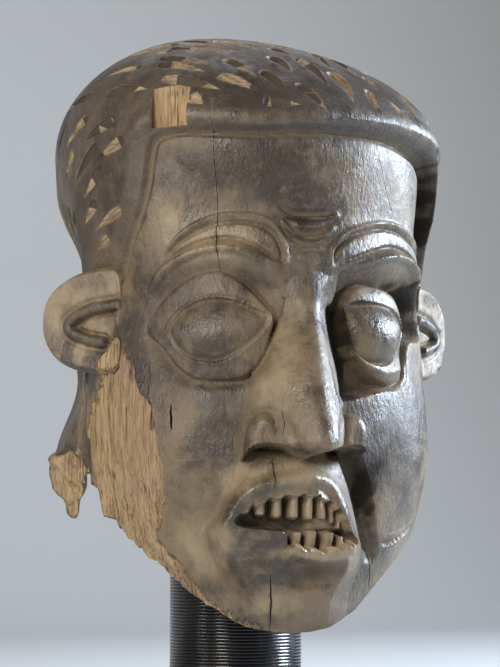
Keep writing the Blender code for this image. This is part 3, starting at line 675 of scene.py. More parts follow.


# where it is duller (above 0) or shinier (below 0); the dullest places are also painted dark as painted
# shade in the deep pits, gaps and hollows
sheensAndPaintedShade = [
    (51, 222, 8, 17, 1.3), (40, 233, 14, 7, 0.8), (13, 176, 3.5, 24, 1.2), (11, 196, 3.2, 28, 1.3),
    (62, 290, 9, 50, 1.2), (19, 90, 3.5, 26, 1.1), (7.5, 115, 5, 3.6, 1.3), (1, 52, 9, 3.5, -1.0),
    (-19, 92, 4, 6, -0.8), (-10, 98.5, 8, 4, -0.5), (26, 118, 12, 34, 0.45), (-25, 140, 8, 28, 0.4),
    (-28, 199, 7, 9, -0.8), (-28, 250, 12, 4, -0.5), (24, 199, 8, 9, -0.5), (0, 370, 60, 26, 0.6),
    (-2, 150, 5, 30, -0.3),
]


def patchy(places, s, z):
    deg = s / form["arc"]
    total = np.zeros(s.shape)
    for at, height, wide, tall, strength in places:
        total += strength * np.exp(-((deg - at) / wide) ** 2 - ((z - height) / tall) ** 2)
    total *= 1 + 0.45 * softNoise(s / 7, z / 9, 41) + 0.35 * softNoise(s / 3, z / 4, 42)
    return np.clip(total, -1, 1)


def carved(turn, share, marks=None):
    marks = {} if marks is None else marks
    point, out = plainHead(turn, share)
    z = point[..., 2]
    s = np.degrees(turn) * form["arc"]
    h = np.zeros(s.shape)
    h = carveCheeks(h, s, z)
    h = carveBrows(h, s, z)
    h = carveSockets(h, s, z)
    h = carveMouth(h, s, z)
    h = carveValley(h, s, z)
    h = carveNose(h, s, z)
    h = carveEyes(h, s, z)
    h = carveLips(h, s, z, marks)
    h = carveHair(h, s, z, marks)
    h = carveBroken(h, s, z, marks)
    marks["rise"] = h
    # the tone and sheen marks, which also carry painted light and painted shade
    marks["stainAndPaintedLight"], marks["dullAndPaintedShade"] = patchy(stainsAndPaintedLight, s, z), patchy(sheensAndPaintedShade, s, z)
    return point + out * h[..., None]


# the fine mask's grid, finer where the carving is, and its cuts
mask = {
    "columns": 520,
    "rows": 330,
    "crownShare": 0.985,
    "fineRound": ([-180, -100, -84, -58, 45, 62, 90, 180], [0.4, 0.55, 1.3, 2.0, 2.0, 1.5, 0.6, 0.4]),
    "fineUp": ([0, 0.08, 0.14, 0.62, 0.72, 0.80, 1], [1.2, 1.5, 2.2, 2.2, 2.0, 0.9, 0.8]),
    "headFaces": 160000,
    "earFaces": 10000,
    "chip": {"length": 0.0430, "width": 0.0106, "depth": 0.0040},
    "chipGap": 0.0082,     # metres between the middle lines of two cuts
    "seenGap": 0.0048,
    "seenLongest": 0.054,
    "narrow": 0.78,        # the share of its width that a cut across the head keeps
    "samePlace": 0.00001,  # metres within which two points are one
    "chipSpacing": 17,     # millimetres from cut to cut along a row
    "chipRows": (0.47, 0.985, 0.0135),
}
markNames = ("raw", "proud", "hair", "toothTanAndHighlight", "stainAndPaintedLight", "dullAndPaintedShade")
ears = [
    {"at": -62.0, "z": 210.0, "turn": 45.0, "reach": 64.0, "half": 37.0},
    {"at": 62.0, "z": 208.0, "turn": 45.0, "reach": 54.0, "half": 35.0},
]
earRidge = [
    (-3, 9.5), (14, 8), (24, 5.5), (31, 2), (35.5, -2), (34, -6.5), (27, -10.5), (18, -13.5), (8, -15.5),
]


def toMetres(points):
    p = np.asarray(points, float)
    return (p + np.array([form["aside"], 0, form["chinUp"]])) / 1000


def meshFrom(name, points, faces):
    mesh = bpy.data.meshes.new(name)
    mesh.from_pydata([tuple(p) for p in points], [], [tuple(f) for f in faces])
    return placed(name, mesh)


def meshOf(name, bm, material=None):
    bmesh.ops.recalc_face_normals(bm, faces=bm.faces)
    mesh = bpy.data.meshes.new(name)
    bm.to_mesh(mesh)
    bm.free()
    if material:
        mesh.materials.append(material)
    return placed(name, mesh)


def closedLoft(name, rings, first, last):
    # rings of equal count, closed to a point at each end
    rows, cols = rings.shape[:2]
    verts = np.vstack([rings.reshape(-1, 3), [first, last]])
    i = np.arange(rows - 1)[:, None] * cols
    j = np.arange(cols)[None]
    k = (j + 1) % cols
    quads = np.stack([i + j, i + k, i + cols + k, i + cols + j], -1).reshape(-1, 4)
    n = rows * cols
    j, k, top = j[0], k[0], (rows - 1) * cols
    fans = [(a, n, b) for a, b in zip(j, k)] + [(top + a, top + b, n + 1) for a, b in zip(j, k)]
    return meshFrom(name, verts, [tuple(q) for q in quads] + fans)


def spread(low, high, count, places, weights):
    # values from low to high, closer together where the weight is high
    x = np.linspace(low, high, 2000)
    total = np.cumsum(np.interp(x, places, weights))
    return np.interp(np.linspace(total[0], total[-1], count), total, x)


def setMark(mesh, name, values):
    mark = mesh.attributes.new(name, "FLOAT", "POINT")
    mark.data.foreach_set("value", np.asarray(values, np.float32))


def blurred(h, times):
    for _ in range(times):
        h = (np.roll(h, 1, 1) + np.roll(h, -1, 1) + 2 * h) / 4
        padded = np.vstack([h[:1], h, h[-1:]])
        h = (padded[:-2] + padded[2:] + 2 * h) / 4
    return h


def boreRings(turn, low):
    # the hollow, from the level seat at its top down to the lower edge
    wall, shoulder = form["wall"], form["shoulder"]
    rings = []
    for k in np.linspace(0, 1, 9):
        rings.append((headRadius(turn, shoulder * k) - wall, low + (shoulder - low) * k))
    for z in np.linspace(shoulder, form["seat"], 6)[1:]:
        over = (z - shoulder) / (form["crown"] - shoulder)
        r = headRadius(turn, shoulder) * (1 - over ** 2) ** 0.43
        rings.append((r - wall, np.full(turn.shape, z)))
    return np.array([np.stack([r * np.sin(turn), -r * np.cos(turn), z], -1) for r, z in rings])[::-1]


def makeHead():
    turn = np.radians(spread(-180, 180, mask["columns"] + 1, *mask["fineRound"])[:-1])
    angle, up = np.meshgrid(turn, spread(0, mask["crownShare"], mask["rows"], *mask["fineUp"]))
    marks = {}
    outer = carved(angle, up, marks)
    rise = marks["rise"]
    marks["proud"] = np.clip((rise - blurred(rise, 40)) / 3, -1, 1)
    crown = carved(np.zeros((1, 1)), np.ones((1, 1)))[0, 0]
    inner = boreRings(turn, outer[0, :, 2])
    rings = np.concatenate([inner, outer])
    count = inner.shape[0] * inner.shape[1]
    obj = closedLoft("carvedMask", toMetres(rings), toMetres([0, 0, form["seat"]]), toMetres(crown))
    for name in markNames:
        setMark(obj.data, name, np.concatenate([np.zeros(count), marks[name].ravel(), [0, 0]]))
    setMark(obj.data, "bore", np.concatenate([np.ones(count), np.zeros(rise.size), [1, 0]]))
    return thinned(obj, mask["headFaces"])


def makeEar(name, ear):
    # a flat D-shaped lobe, with a ridge like a V on its side in the middle
    side = math.copysign(1, ear["at"])
    at, turn = math.radians(ear["at"]), math.radians(ear["turn"])
    along = np.array([side * math.cos(turn), math.sin(turn), 0])
    facing = np.array([side * math.sin(turn), -math.cos(turn), 0])
    r = float(headRadius(np.array(at), ear["z"]))
    centre = np.array([r * math.sin(at), -r * math.cos(at), ear["z"]]) + 4.5 * along - 6.3 * facing
    turns = np.linspace(0, 2 * np.pi, 180, endpoint=False)
    phi, rho = np.meshgrid(turns, spread(0.03, 1, 56, [0, 0.85, 1], [1, 1, 2.0]))
    c, k = np.cos(phi), np.sin(phi)
    wide = np.where(c > 0, ear["reach"] - 5, 9)
    size = (np.abs(c / wide) ** 2.4 + np.abs(k / ear["half"]) ** 2.4) ** (-1 / 2.4)
    u, v = rho * size * c, rho * size * k
    edge = (1 - rho) * size
    stretch = ear["reach"] / 64
    line = smoothLine([(stretch * a / form["arc"], stretch * b) for a, b in earRidge])
    ridge, _, hand = toLine(u, v, line)
    within = (hand < 0) & (u < 36 * stretch)
    rounded = np.sqrt(np.clip(1 - (ridge / 4.2) ** 2, 0, 1))
    # the rim, a slight dish inside it, and the ridge
    front = 7 * ease(edge, -0.5, 4) - 1.0 * ease(edge, 4, 16) + 2.8 * rounded
    front -= np.where(within, 0, 1.6 * bump(ridge - 5.6, 3.0))
    # a sunk groove inside the ridge, and a little island in the middle
    groove = 3.6 * ease(ridge, 2.2, 4.4) - 2.6 * ease(ridge, 5.2, 7.2)
    front -= np.where(within, groove, 0) * ease(edge, 4, 9)
    front += 0.3 * softNoise(u / 7, v / 7, 21)
    back = -2 - 13 * ease(edge, -2, 16)
    flat = u[..., None] * along + v[..., None] * np.array([0, 0, 1])
    before, behind = (flat + k[..., None] * facing for k in (front, back))
    rings = np.vstack([before, behind[::-1]]) + centre
    obj = closedLoft(name, toMetres(rings), toMetres(rings[0].mean(0)), toMetres(rings[-1].mean(0)))
    proud = np.clip((front - 5.8) / 3, -1, 1)
    # the right ear's root is split away below
    torn = 0.5 + (-13 - v - 1.5 * u + 2 * softNoise(u / 3, v / 9, 5)) / 4 if ear["at"] < 0 else 0 * u
    # tan round the rim, grey on the ridge
    dusty = 0.35 - 1.1 * bump(ridge, 6) + 0.55 * softNoise(u / 9, v / 9, 9)
    dusty += 0.3 * softNoise(u / 3, v / 3, 10)
    for key, values in (("proud", proud), ("raw", np.clip(torn, 0, 1)), ("stainAndPaintedLight", np.clip(dusty, -1, 1))):
        setMark(obj.data, key, np.concatenate([values.ravel(), np.zeros(values.size), [0, 0]]))
    return thinned(obj, mask["earFaces"])


def thinned(obj, faces):
    # fewer faces where the surface is plain
    change = obj.modifiers.new("thinned", "DECIMATE")
    change.ratio = faces / (2 * len(obj.data.polygons))
    return baked(obj)


def cut(target, tool, operation):
    change = target.modifiers.new(tool.name, "BOOLEAN")
    change.object, change.operation, change.solver = tool, operation, "EXACT"
    change.material_mode = "TRANSFER"
    tool.hide_render = True
    return change


def baked(obj):
    # the mesh with its modifiers applied
    mesh = bpy.data.meshes.new_from_object(obj.evaluated_get(bpy.context.evaluated_depsgraph_get()))
    obj.modifiers.clear()
    old = obj.data
    obj.data = mesh
    bpy.data.meshes.remove(old)
    return obj


def carryMarks(mesh, source):
    # joining the ear mixes up the marks, so its own are set again on the same points
    near = KDTree(len(source.vertices))
    for v in source.vertices:
        near.insert(v.co, v.index)
    near.balance()
    found = [(v.index, *near.find(v.co)[1:]) for v in mesh.vertices]
    same = [(index, k) for index, k, gap in found if gap < mask["samePlace"]]
    for name in markNames + ("bore",):
        target, given = mesh.attributes[name].data, source.attributes.get(name)
        for index, k in same:
            target[index].value = given.data[k].value if given else 0


def markCuts(mesh, spots, slot):
    # how far along, across and down its own cut each place lies, for the grain
    inside = sorted({k for face in mesh.polygons if face.material_index == slot for k in face.vertices})
    places = np.array([mesh.vertices[k].co for k in inside])
    away = places[:, None] - np.array([spot["place"] for spot in spots])
    own = np.einsum("kij,nki->nkj", np.array([spot["turn"].to_matrix() for spot in spots]), away)
    chip = mask["chip"]
    size = np.array([(spot["long"] * chip["length"], spot["wide"] * chip["width"]) for spot in spots])
    best = (own[..., :2] ** 2 / size ** 2).sum(-1).argmin(1)
    values = np.zeros((len(mesh.vertices), 3), np.float32)
    values[inside] = own[np.arange(len(inside)), best]
    tones = np.zeros(len(mesh.vertices))
    tones[inside] = np.array([spot["tone"] for spot in spots])[best]
    mesh.attributes.new("chipSpot", "FLOAT_VECTOR", "POINT").data.foreach_set("vector", values.ravel())
    setMark(mesh, "chipTone", tones)


def surfaceFrames(angles, shares):
    # places on the carved surface with the directions round and out
    step = 0.004
    a, q = np.array(angles, float), np.array(shares, float)
    p, side, over = toMetres(carved(np.array([a, a + step, a]), np.array([q, q, q + step])))
    level = (side - p) / np.linalg.norm(side - p, axis=1)[:, None]
    out = np.cross(level, over - p)
    out /= np.linalg.norm(out, axis=1)[:, None]
    return [tuple(Vector(v) for v in row) for row in zip(p, level, out)]


# one chisel cut of the hair: its rim, its deepest line, and which point of that is nearest each rim point
chipOutline = {
    "rim": [
        (-0.50, -0.02), (-0.485, 0.26), (-0.43, 0.43), (-0.30, 0.50), (-0.05, 0.44), (0.24, 0.24),
        (0.50, 0.0), (0.22, -0.20), (-0.06, -0.38), (-0.30, -0.49), (-0.43, -0.44), (-0.485, -0.26),
    ],
    "deepest": [(-0.40, -0.28, 0.95), (-0.24, -0.33, 1.0), (0.02, -0.22, 0.8), (0.28, -0.10, 0.5)],
    "nearest": [0, 0, 0, 1, 2, 3, 3, 3, 2, 1, 0, 0],
}


def makeChipShape(flip):
    # blunt at one end, pointed at the other, with a gently sloping floor down to a steep side
    long, wide, depth = mask["chip"]["length"], flip * mask["chip"]["width"], mask["chip"]["depth"]
    outline, near = chipOutline["rim"], chipOutline["nearest"]
    bm = bmesh.new()
    ring = [bm.verts.new((x * long, y * wide, 0)) for x, y in outline]
    # the lid stands over the surface, a little wider
    lid = [bm.verts.new((1.03 * x * long, 1.12 * y * wide, 0.0018)) for x, y in outline]
    low = [bm.verts.new((x * long, y * wide, -k * depth)) for x, y, k in chipOutline["deepest"]]
    count = len(outline)
    for i in range(count):
        j = (i + 1) % count
        bm.faces.new((ring[i], ring[j], lid[j], lid[i]))
        bm.faces.new((ring[i], ring[j], low[near[i]]))
        if near[i] != near[j]:
            bm.faces.new((low[near[i]], ring[j], low[near[j]]))
    bm.faces.new(lid)
    obj = meshOf("chipShape", bm)
    obj.hide_render = True
    return obj


# the cuts that show, each from its blunt end to its point, as degrees and share up the head
cutsSeen = [
    (-48, .827, -30, .804), (-43, .794, -24, .768), (-54, .824, -72, .816), (-63, .780, -46, .777),
    (-59, .875, -82, .860), (-50, .865, -61, .852), (-53, .875, -34, .865), (-38, .915, -8, .880),
    (-24, .836, -14, .797), (-25, .797, -14, .768), (-25, .760, -15, .754), (-13, .750, -3, .747),
    (-11, .811, -6, .761), (-4, .855, -1, .813), (3, .894, 9, .869), (10, .860, 9, .788),
    (-1, .791, 4, .739), (17, .825, 14, .754), (45, .913, 19, .830), (48, .890, 29, .827),
    (34, .829, 31, .804), (24, .793, 21, .746), (32, .785, 30, .729), (48, .813, 37, .738),
    (-33, .760, -29, .744), (-70, .752, -89, .722), (-72, .786, -100, .783), (-57, .736, -72, .718),
    (-53, .704, -65, .677), (-64, .705, -81, .647), (-63, .660, -74, .611), (-56, .588, -70, .550),
    (-64, .539, -71, .511), (-67, .603, -75, .564), (-58, .636, -66, .613), (-81, .710, -91, .663),
    (-78, .660, -86, .613), (-76, .600, -80, .557),
]
# how far the cuts turn aside round the head: they run down and away from a parting on its upper right
parting = ([-180, -150, -120, -70, -58, -52, -20, 0, 25, 60, 90, 120, 150, 180],
           [0, -0.5, -1.2, -1.5, -1.2, 2.2, 1.0, 0.3, 0, 0.8, 1.5, 1.2, 0.5, 0])
# below this height there are no cuts over the forehead
bareBand = ([-48, -33, -12, 4, 35, 53, 70], [366, 366, 364, 360, 352, 346, 300])


def comb(angle, out):
    turn = np.interp(math.degrees(angle), *parting)
    way = Vector((turn * math.cos(angle), turn * math.sin(angle), -1))
    return (way - way.dot(out) * out).normalized()


def rowPlaces():
    # staggered rows round the head, with a stray of -1 to 1 for each place, where there is hair to cut
    rows = []
    for row, share in enumerate(np.arange(*mask["chipRows"])):
        # millimetres round the head at this row
        girth = 850 * math.cos(max(0, share - 0.72) / 0.28 * math.pi / 2) ** 0.86
        count = max(5, int(girth / mask["chipSpacing"]))
        rows += [(math.radians(-180 + 360 * (k + 0.37 * row) / count), share) for k in range(count)]
    angles, shares = np.array(rows).T
    strays = 2 * hashed(np.arange(len(rows)), 3.0, 1.0) - 1
    angles = (angles + 0.03 * strays + math.pi) % (2 * math.pi) - math.pi
    heights = plainHead(angles, shares)[0][:, 2]
    degrees = np.degrees(angles)
    inside = hairInside((degrees * form["arc"])[None], heights[None])[0]
    bare = (np.abs(degrees) < 62) & (heights < np.interp(degrees, *bareBand))
    # nor any round the missing piece
    notch = (degrees > -52) & (degrees < -28) & (heights < 376)
    good = (inside > 19) & ~bare & ~notch
    return angles[good], shares[good], strays[good]


def chipSpots():
    size = mask["chip"]
    spots, taken = [], []

    def add(p, along, out, level, long, tone, gap=mask["chipGap"]):
        # a cut keeps clear of the ones before it, along its whole middle line
        line = [p + x * long * along for x in (-0.54, -0.4, -0.27, -0.13, 0, 0.13, 0.27, 0.4, 0.54)]
        if any((a - b).length < gap for a in line for b in taken):
            return
        taken.extend(line)
        axes = Matrix((along, out.cross(along), out)).transposed()
        # the head rounds away from a cut's straight rim
        place = p - (0.0004 + 0.32 * long ** 2) * out
        side = int(along.dot(level) < -0.15)
        spots.append({"place": place, "turn": axes.to_euler(), "long": 1.02 * long / size["length"],
                      "wide": mask["narrow"] if side else 1.0, "tone": tone, "side": side})

    seen = np.array(cutsSeen)
    first, last = (surfaceFrames(np.radians(seen[:, k]), seen[:, k + 1]) for k in (0, 2))
    for a, b in zip(first, last):
        out = (a[2] + b[2]).normalized()
        run = b[0] - a[0]
        along = (run - run.dot(out) * out).normalized()
        p = (a[0] + b[0]) / 2
        bulge = 0.5 * run.length * max(0.0, min(0.12, 0.25 * (a[2] - b[2]).length))
        long = min(run.length, mask["seenLongest"])
        add(p + bulge * out, along, out, (a[1] + b[1]) / 2, long, 1.0, mask["seenGap"])
    print("cuts that show:", len(spots), "of", len(seen))
    angles, shares, strays = rowPlaces()
    for (p, level, out), angle, stray in zip(surfaceFrames(angles, shares), angles, strays):
        along = (Matrix.Rotation(float(0.16 * stray), 3, out) @ comb(angle, out)).normalized()
        add(p, along, out, level, float(0.92 * size["length"] * (1 + 0.16 * stray)), 0.5 + 0.5 * stray)
    return spots


def chipTree(shapes, material):
    tree = bpy.data.node_groups.new("chiselCuts", "GeometryNodeTree")
    face = tree.interface
    face.new_socket("Geometry", in_out="INPUT", socket_type="NodeSocketGeometry")
    names = {}
    for name, kind, value in (("Shallowest", "Float", 0.84), ("Deepest", "Float", 1.12), ("Seed", "Int", 7)):
        item = face.new_socket(name, in_out="INPUT", socket_type="NodeSocket" + kind)
        item.default_value = value
        names[name] = item.identifier
    face.new_socket("Geometry", in_out="OUTPUT", socket_type="NodeSocketGeometry")
    add, link = tree.nodes.new, tree.links.new
    start, end = add("NodeGroupInput"), add("NodeGroupOutput")
    both, real = add("GeometryNodeJoinGeometry"), add("GeometryNodeRealizeInstances")
    paint = add("GeometryNodeSetMaterial")
    given = {}
    for name, kind in (("turn", "FLOAT_VECTOR"), ("long", "FLOAT"), ("wide", "FLOAT"), ("side", "INT")):
        given[name] = add("GeometryNodeInputNamedAttribute")
        given[name].data_type = kind
        given[name].inputs["Name"].default_value = name
    chance = add("FunctionNodeRandomValue")
    size = add("ShaderNodeCombineXYZ")
    link(start.outputs["Shallowest"], chance.inputs[2])
    link(start.outputs["Deepest"], chance.inputs[3])
    link(start.outputs["Seed"], chance.inputs["Seed"])
    link(given["long"].outputs["Attribute"], size.inputs["X"])
    wide = add("ShaderNodeMath")
    wide.operation = "MULTIPLY"
    link(chance.outputs[1], wide.inputs[0])
    link(given["wide"].outputs["Attribute"], wide.inputs[1])
    link(wide.outputs[0], size.inputs["Y"])
    link(chance.outputs[1], size.inputs["Z"])
    points = add("GeometryNodeMeshToPoints")
    link(start.outputs["Geometry"], points.inputs["Mesh"])
    # one shape for each hand of the cut
    for k, shape in enumerate(shapes):
        put, info = add("GeometryNodeInstanceOnPoints"), add("GeometryNodeObjectInfo")
        same = add("FunctionNodeCompare")
        info.inputs["Object"].default_value = shape
        same.data_type, same.operation = "INT", "EQUAL"
        same.inputs[3].default_value = k
        link(given["side"].outputs["Attribute"], same.inputs[2])
        link(points.outputs["Points"], put.inputs["Points"])
        link(same.outputs["Result"], put.inputs["Selection"])
        link(info.outputs["Geometry"], put.inputs["Instance"])
        link(given["turn"].outputs["Attribute"], put.inputs["Rotation"])
        link(size.outputs["Vector"], put.inputs["Scale"])
        link(put.outputs["Instances"], both.inputs["Geometry"])
    link(both.outputs["Geometry"], real.inputs["Geometry"])
    paint.inputs["Material"].default_value = material
    link(real.outputs["Geometry"], paint.inputs["Geometry"])
    link(paint.outputs["Geometry"], end.inputs["Geometry"])
    return tree, names


def makeHairCuts(spots, material):
    points = meshFrom("hairCuts", [spot["place"] for spot in spots], [])
    turns = np.array([tuple(spot["turn"]) for spot in spots], np.float32)
    points.data.attributes.new("turn", "FLOAT_VECTOR", "POINT").data.foreach_set("vector", turns.ravel())
    for name in ("long", "wide"):
        setMark(points.data, name, [spot[name] for spot in spots])
    side = points.data.attributes.new("side", "INT", "POINT")
    side.data.foreach_set("value", [spot["side"] for spot in spots])
    shapes = [makeChipShape(flip) for flip in (1, -1)]
    tree, names = chipTree(shapes, material)
    change = points.modifiers.new("chiselCuts", "NODES")
    change.node_group = tree
    for name, value in (("Shallowest", 0.88), ("Deepest", 1.08), ("Seed", 7)):
        change[names[name]] = value
    baked(points)
    # cuts that run into each other are joined before they are taken out of the wood
    bpy.ops.mesh.primitive_cube_add(size=0.001, location=(0, 0, 0.02))
    far = bpy.context.object
    cut(points, far, "UNION").use_self = True
    baked(points)
    for obj in [far] + shapes:
        bpy.data.objects.remove(obj)
    points.hide_render = True
    print("hair cuts:", len(spots))
    return points


# splits in the wood: path in degrees and height, width and depth in metres
cracks = {
    "forehead": (
        [
            (-26.6, 350), (-27.0, 336), (-26.5, 316), (-26.0, 285), (-26.3, 262), (-25.6, 243),
            (-25.2, 236),
        ],
        0.0005, 0.003,
    ),
    "rightBrow": ([(21.6, 330), (24.0, 315), (27.6, 298), (31, 285), (34.5, 272.9)], 0.0005, 0.003),
    "lip": ([(-11.2, 113), (-11.1, 106), (-11.0, 100), (-11.1, 93)], 0.0005, 0.004),
    "chin": ([(-11.4, 38), (-10.9, 30), (-10.6, 21.4), (-10.5, 12), (-10.4, 1)], 0.0009, 0.006),
    "cheek": ([(-38.8, 149.5), (-38.9, 143), (-38.6, 137), (-38.3, 132)], 0.0017, 0.006),
    "mouthCorner": ([(22.3, 54.9), (23.4, 49), (24.1, 43.5), (25.0, 35), (25.6, 26.8)], 0.0008, 0.005),
    "ear": ([(-47.0, 178), (-46.6, 168), (-46.9, 155), (-46.2, 146)], 0.0006, 0.004),
    "nose": ([(-9.5, 142), (-9.2, 134), (-9.6, 126)], 0.0005, 0.003),
}


def makeCracks(material):
    # each is a wedge that narrows to both ends
    bm = bmesh.new()
    for points, width, depth in cracks.values():
        line = np.array(points, float)
        k = np.linspace(0, len(line) - 1, 6 * (len(line) - 1) + 1)
        deg, z = (np.interp(k, np.arange(len(line)), line[:, i]) for i in (0, 1))
        deg = deg + 0.18 * softNoise(k * 2.3, k * 0 + deg[0], 4)
        frames = surfaceFrames(np.radians(deg), shareAt(np.radians(deg), z))
        rings = []
        for i, (frame, angle) in enumerate(zip(frames, np.radians(deg))):
            p, away = frame[0], Vector((math.sin(angle), -math.cos(angle), 0))
            half = 0.5 * width * max(0.3, math.sin(math.pi * i / (len(deg) - 1)) ** 0.5)
            across = 1.4 * half * Vector((math.cos(angle), math.sin(angle), 0))
            corners = (p + across + 0.002 * away, p - across + 0.002 * away, p - depth * away)
            rings.append([bm.verts.new(c) for c in corners])
        for a, b in zip(rings, rings[1:]):
            for i in range(3):
                j = (i + 1) % 3
                bm.faces.new((a[i], a[j], b[j], b[i]))
        bm.faces.new(rings[0])
        bm.faces.new(rings[-1][::-1])
    return meshOf("cracks", bm, material)


def shareAt(angles, heights):
    # the shares up the head at which the plain head has these heights
    shares = np.linspace(0, 1, 400)
    found = []
    for angle, height in zip(angles, heights):
        found.append(np.interp(height, plainHead(np.full(400, angle), shares)[0][:, 2], shares))
    return found


# the piece missing from the hair's edge, its size in metres
missing = {
    "at": -38.6, "z": 350.5, "out": 15.5, "turn": 6, "size": (0.0262, 0.024, 0.034), "rough": 0.0007,
}


def makeBrokenBlock(material):
    angle = math.radians(missing["at"])
    r = float(headRadius(np.array(angle), form["shoulder"])) + missing["out"]
    bpy.ops.mesh.primitive_cube_add(size=1)
    block = bpy.context.object
    block.name = "brokenBlock"
    place = Vector(toMetres([r * math.sin(angle), -r * math.cos(angle), missing["z"]]))
    turn = Matrix.Rotation(angle + math.radians(missing["turn"]), 4, "Z")
    block.data.transform(Matrix.Translation(place) @ turn @ Matrix.Diagonal((*missing["size"], 1)))
    bm = bmesh.new()
    bm.from_mesh(block.data)
    bmesh.ops.subdivide_edges(bm, edges=bm.edges, cuts=9, use_grid_fill=True)
    for v in bm.verts:
        k = v.co * 1000
        shift = float(softNoise(np.array(k.x / 2.2 + k.y / 2.2), np.array(k.z / 9.0), 6))
        v.co += missing["rough"] * shift * Vector((math.sin(angle), -math.cos(angle), 0.25))
    bm.to_mesh(block.data)
    bm.free()
    block.data.materials.append(material)
    block.location, block.scale = (0, 0, 0), (1, 1, 1)
    return block


# how far through the wall the torn edge is cut, as shares of the camera's distance, and in how many steps
tornReach = (0.935, 1.10, 22)
# the torn end of the hanging piece and the gap beside it, in millimetres from the picture's middle
tornEdge = [
    (-161.6, -88.5), (-149.2, -89.2), (-145.6, -94.3), (-146, -103), (-143.4, -113.2), (-139.8, -117.6),
    (-136.1, -120.5), (-134, -124.9), (-133.2, -130.7), (-130.3, -134), (-126.7, -134.3),
    (-124.5, -129.9), (-123.8, -121.2), (-120.8, -116.8), (-119, -112.5), (-118.4, -101.6),
    (-116, -101.6), (-115.4, -109.6), (-110.7, -112.1), (-109.2, -117.6), (-108.1, -126.3),
    (-106.3, -132.9), (-96.8, -135.4), (-94.6, -142.3), (-90.3, -148.1), (-86.6, -151.1),
]


def makeTornEdge(material):
    # everything below the torn line, cut straight back through the wall
    ahead = -viewAxis()
    right = ahead.cross(Vector((0, 0, 1))).normalized()
    up = right.cross(ahead)
    target = Vector(shot["target"])
    viewer = target - shot["distance"] * ahead
    line = tornEdge[:1]
    for a, b in zip(tornEdge, tornEdge[1:]):
        line += [((a[0] + b[0]) / 2, (a[1] + b[1]) / 2), b]
    line += [(line[-1][0] - 1, -175), (line[0][0], -175)]
    rings = []
    for i, k in enumerate(np.linspace(*tornReach)):
        ring = []
        for j, (u, v) in enumerate(line):
            if 0 < j < len(line) - 3:
                u += 0.5 * float(softNoise(np.array(i / 1.3), np.array(j * 0.8), 31))
                v += 0.9 * float(softNoise(np.array(i / 1.3), np.array(j * 0.8), 32))
            spot = target + 0.001 * (u * right + v * up)
            ring.append(viewer + float(k) * (spot - viewer))
        rings.append(ring)
    bm = bmesh.new()
    grid = [[bm.verts.new(p) for p in ring] for ring in rings]
    n = len(line)
    for a, b in zip(grid, grid[1:]):
        for i in range(n):
            bm.faces.new((a[i], a[(i + 1) % n], b[(i + 1) % n], b[i]))
    bm.faces.new(grid[0])
    bm.faces.new(grid[-1][::-1])
    return meshOf("tornEdge", bm, material)


# colours of the finishes
finish = {
    "dusty": (0.150, 0.112, 0.069),
    "polishedAndPaintedShade": (0.040, 0.029, 0.021),
    "worn": (0.20, 0.145, 0.088),
    "olive": (0.170, 0.136, 0.080),
    "pale": (0.285, 0.220, 0.138),
    "hair": (0.040, 0.029, 0.020),
    "raw": (0.450, 0.318, 0.172),
    "rawDark": (0.215, 0.142, 0.076),
    "chip": (0.36, 0.275, 0.170),
    "toothTanAndHighlight": (0.35, 0.265, 0.170),
    "rawLight": (0.52, 0.385, 0.230),
    "rawSplit": (0.062, 0.037, 0.022),
    "rawPink": (0.33, 0.215, 0.145),
    "rawDirt": (0.13, 0.075, 0.045),
    "grain": (0.024, 0.016, 0.012),
    "hollow": (0.150, 0.114, 0.072),
    "speck": (0.24, 0.195, 0.135),
    "dirtAndPaintedShade": (0.017, 0.013, 0.009),
    "bore": (0.085, 0.060, 0.038),
    "chipGrain": (0.15, 0.107, 0.064),
    "chipLight": (0.43, 0.34, 0.215),
    "chipCloud": (0.062, 0.043, 0.028),
    "chipLineShade": (0.022, 0.015, 0.010),
    "chipOld": (0.060, 0.042, 0.027),
    "crack": (0.012, 0.008, 0.006),
    "crackDust": (0.035, 0.022, 0.015),
    "gloss": (0.006, 0.006, 0.007),
    "glossDust": (0.035, 0.034, 0.033),
    "satin": (0.010, 0.010, 0.0105),
    "satinWorn": (0.030, 0.029, 0.028),
}


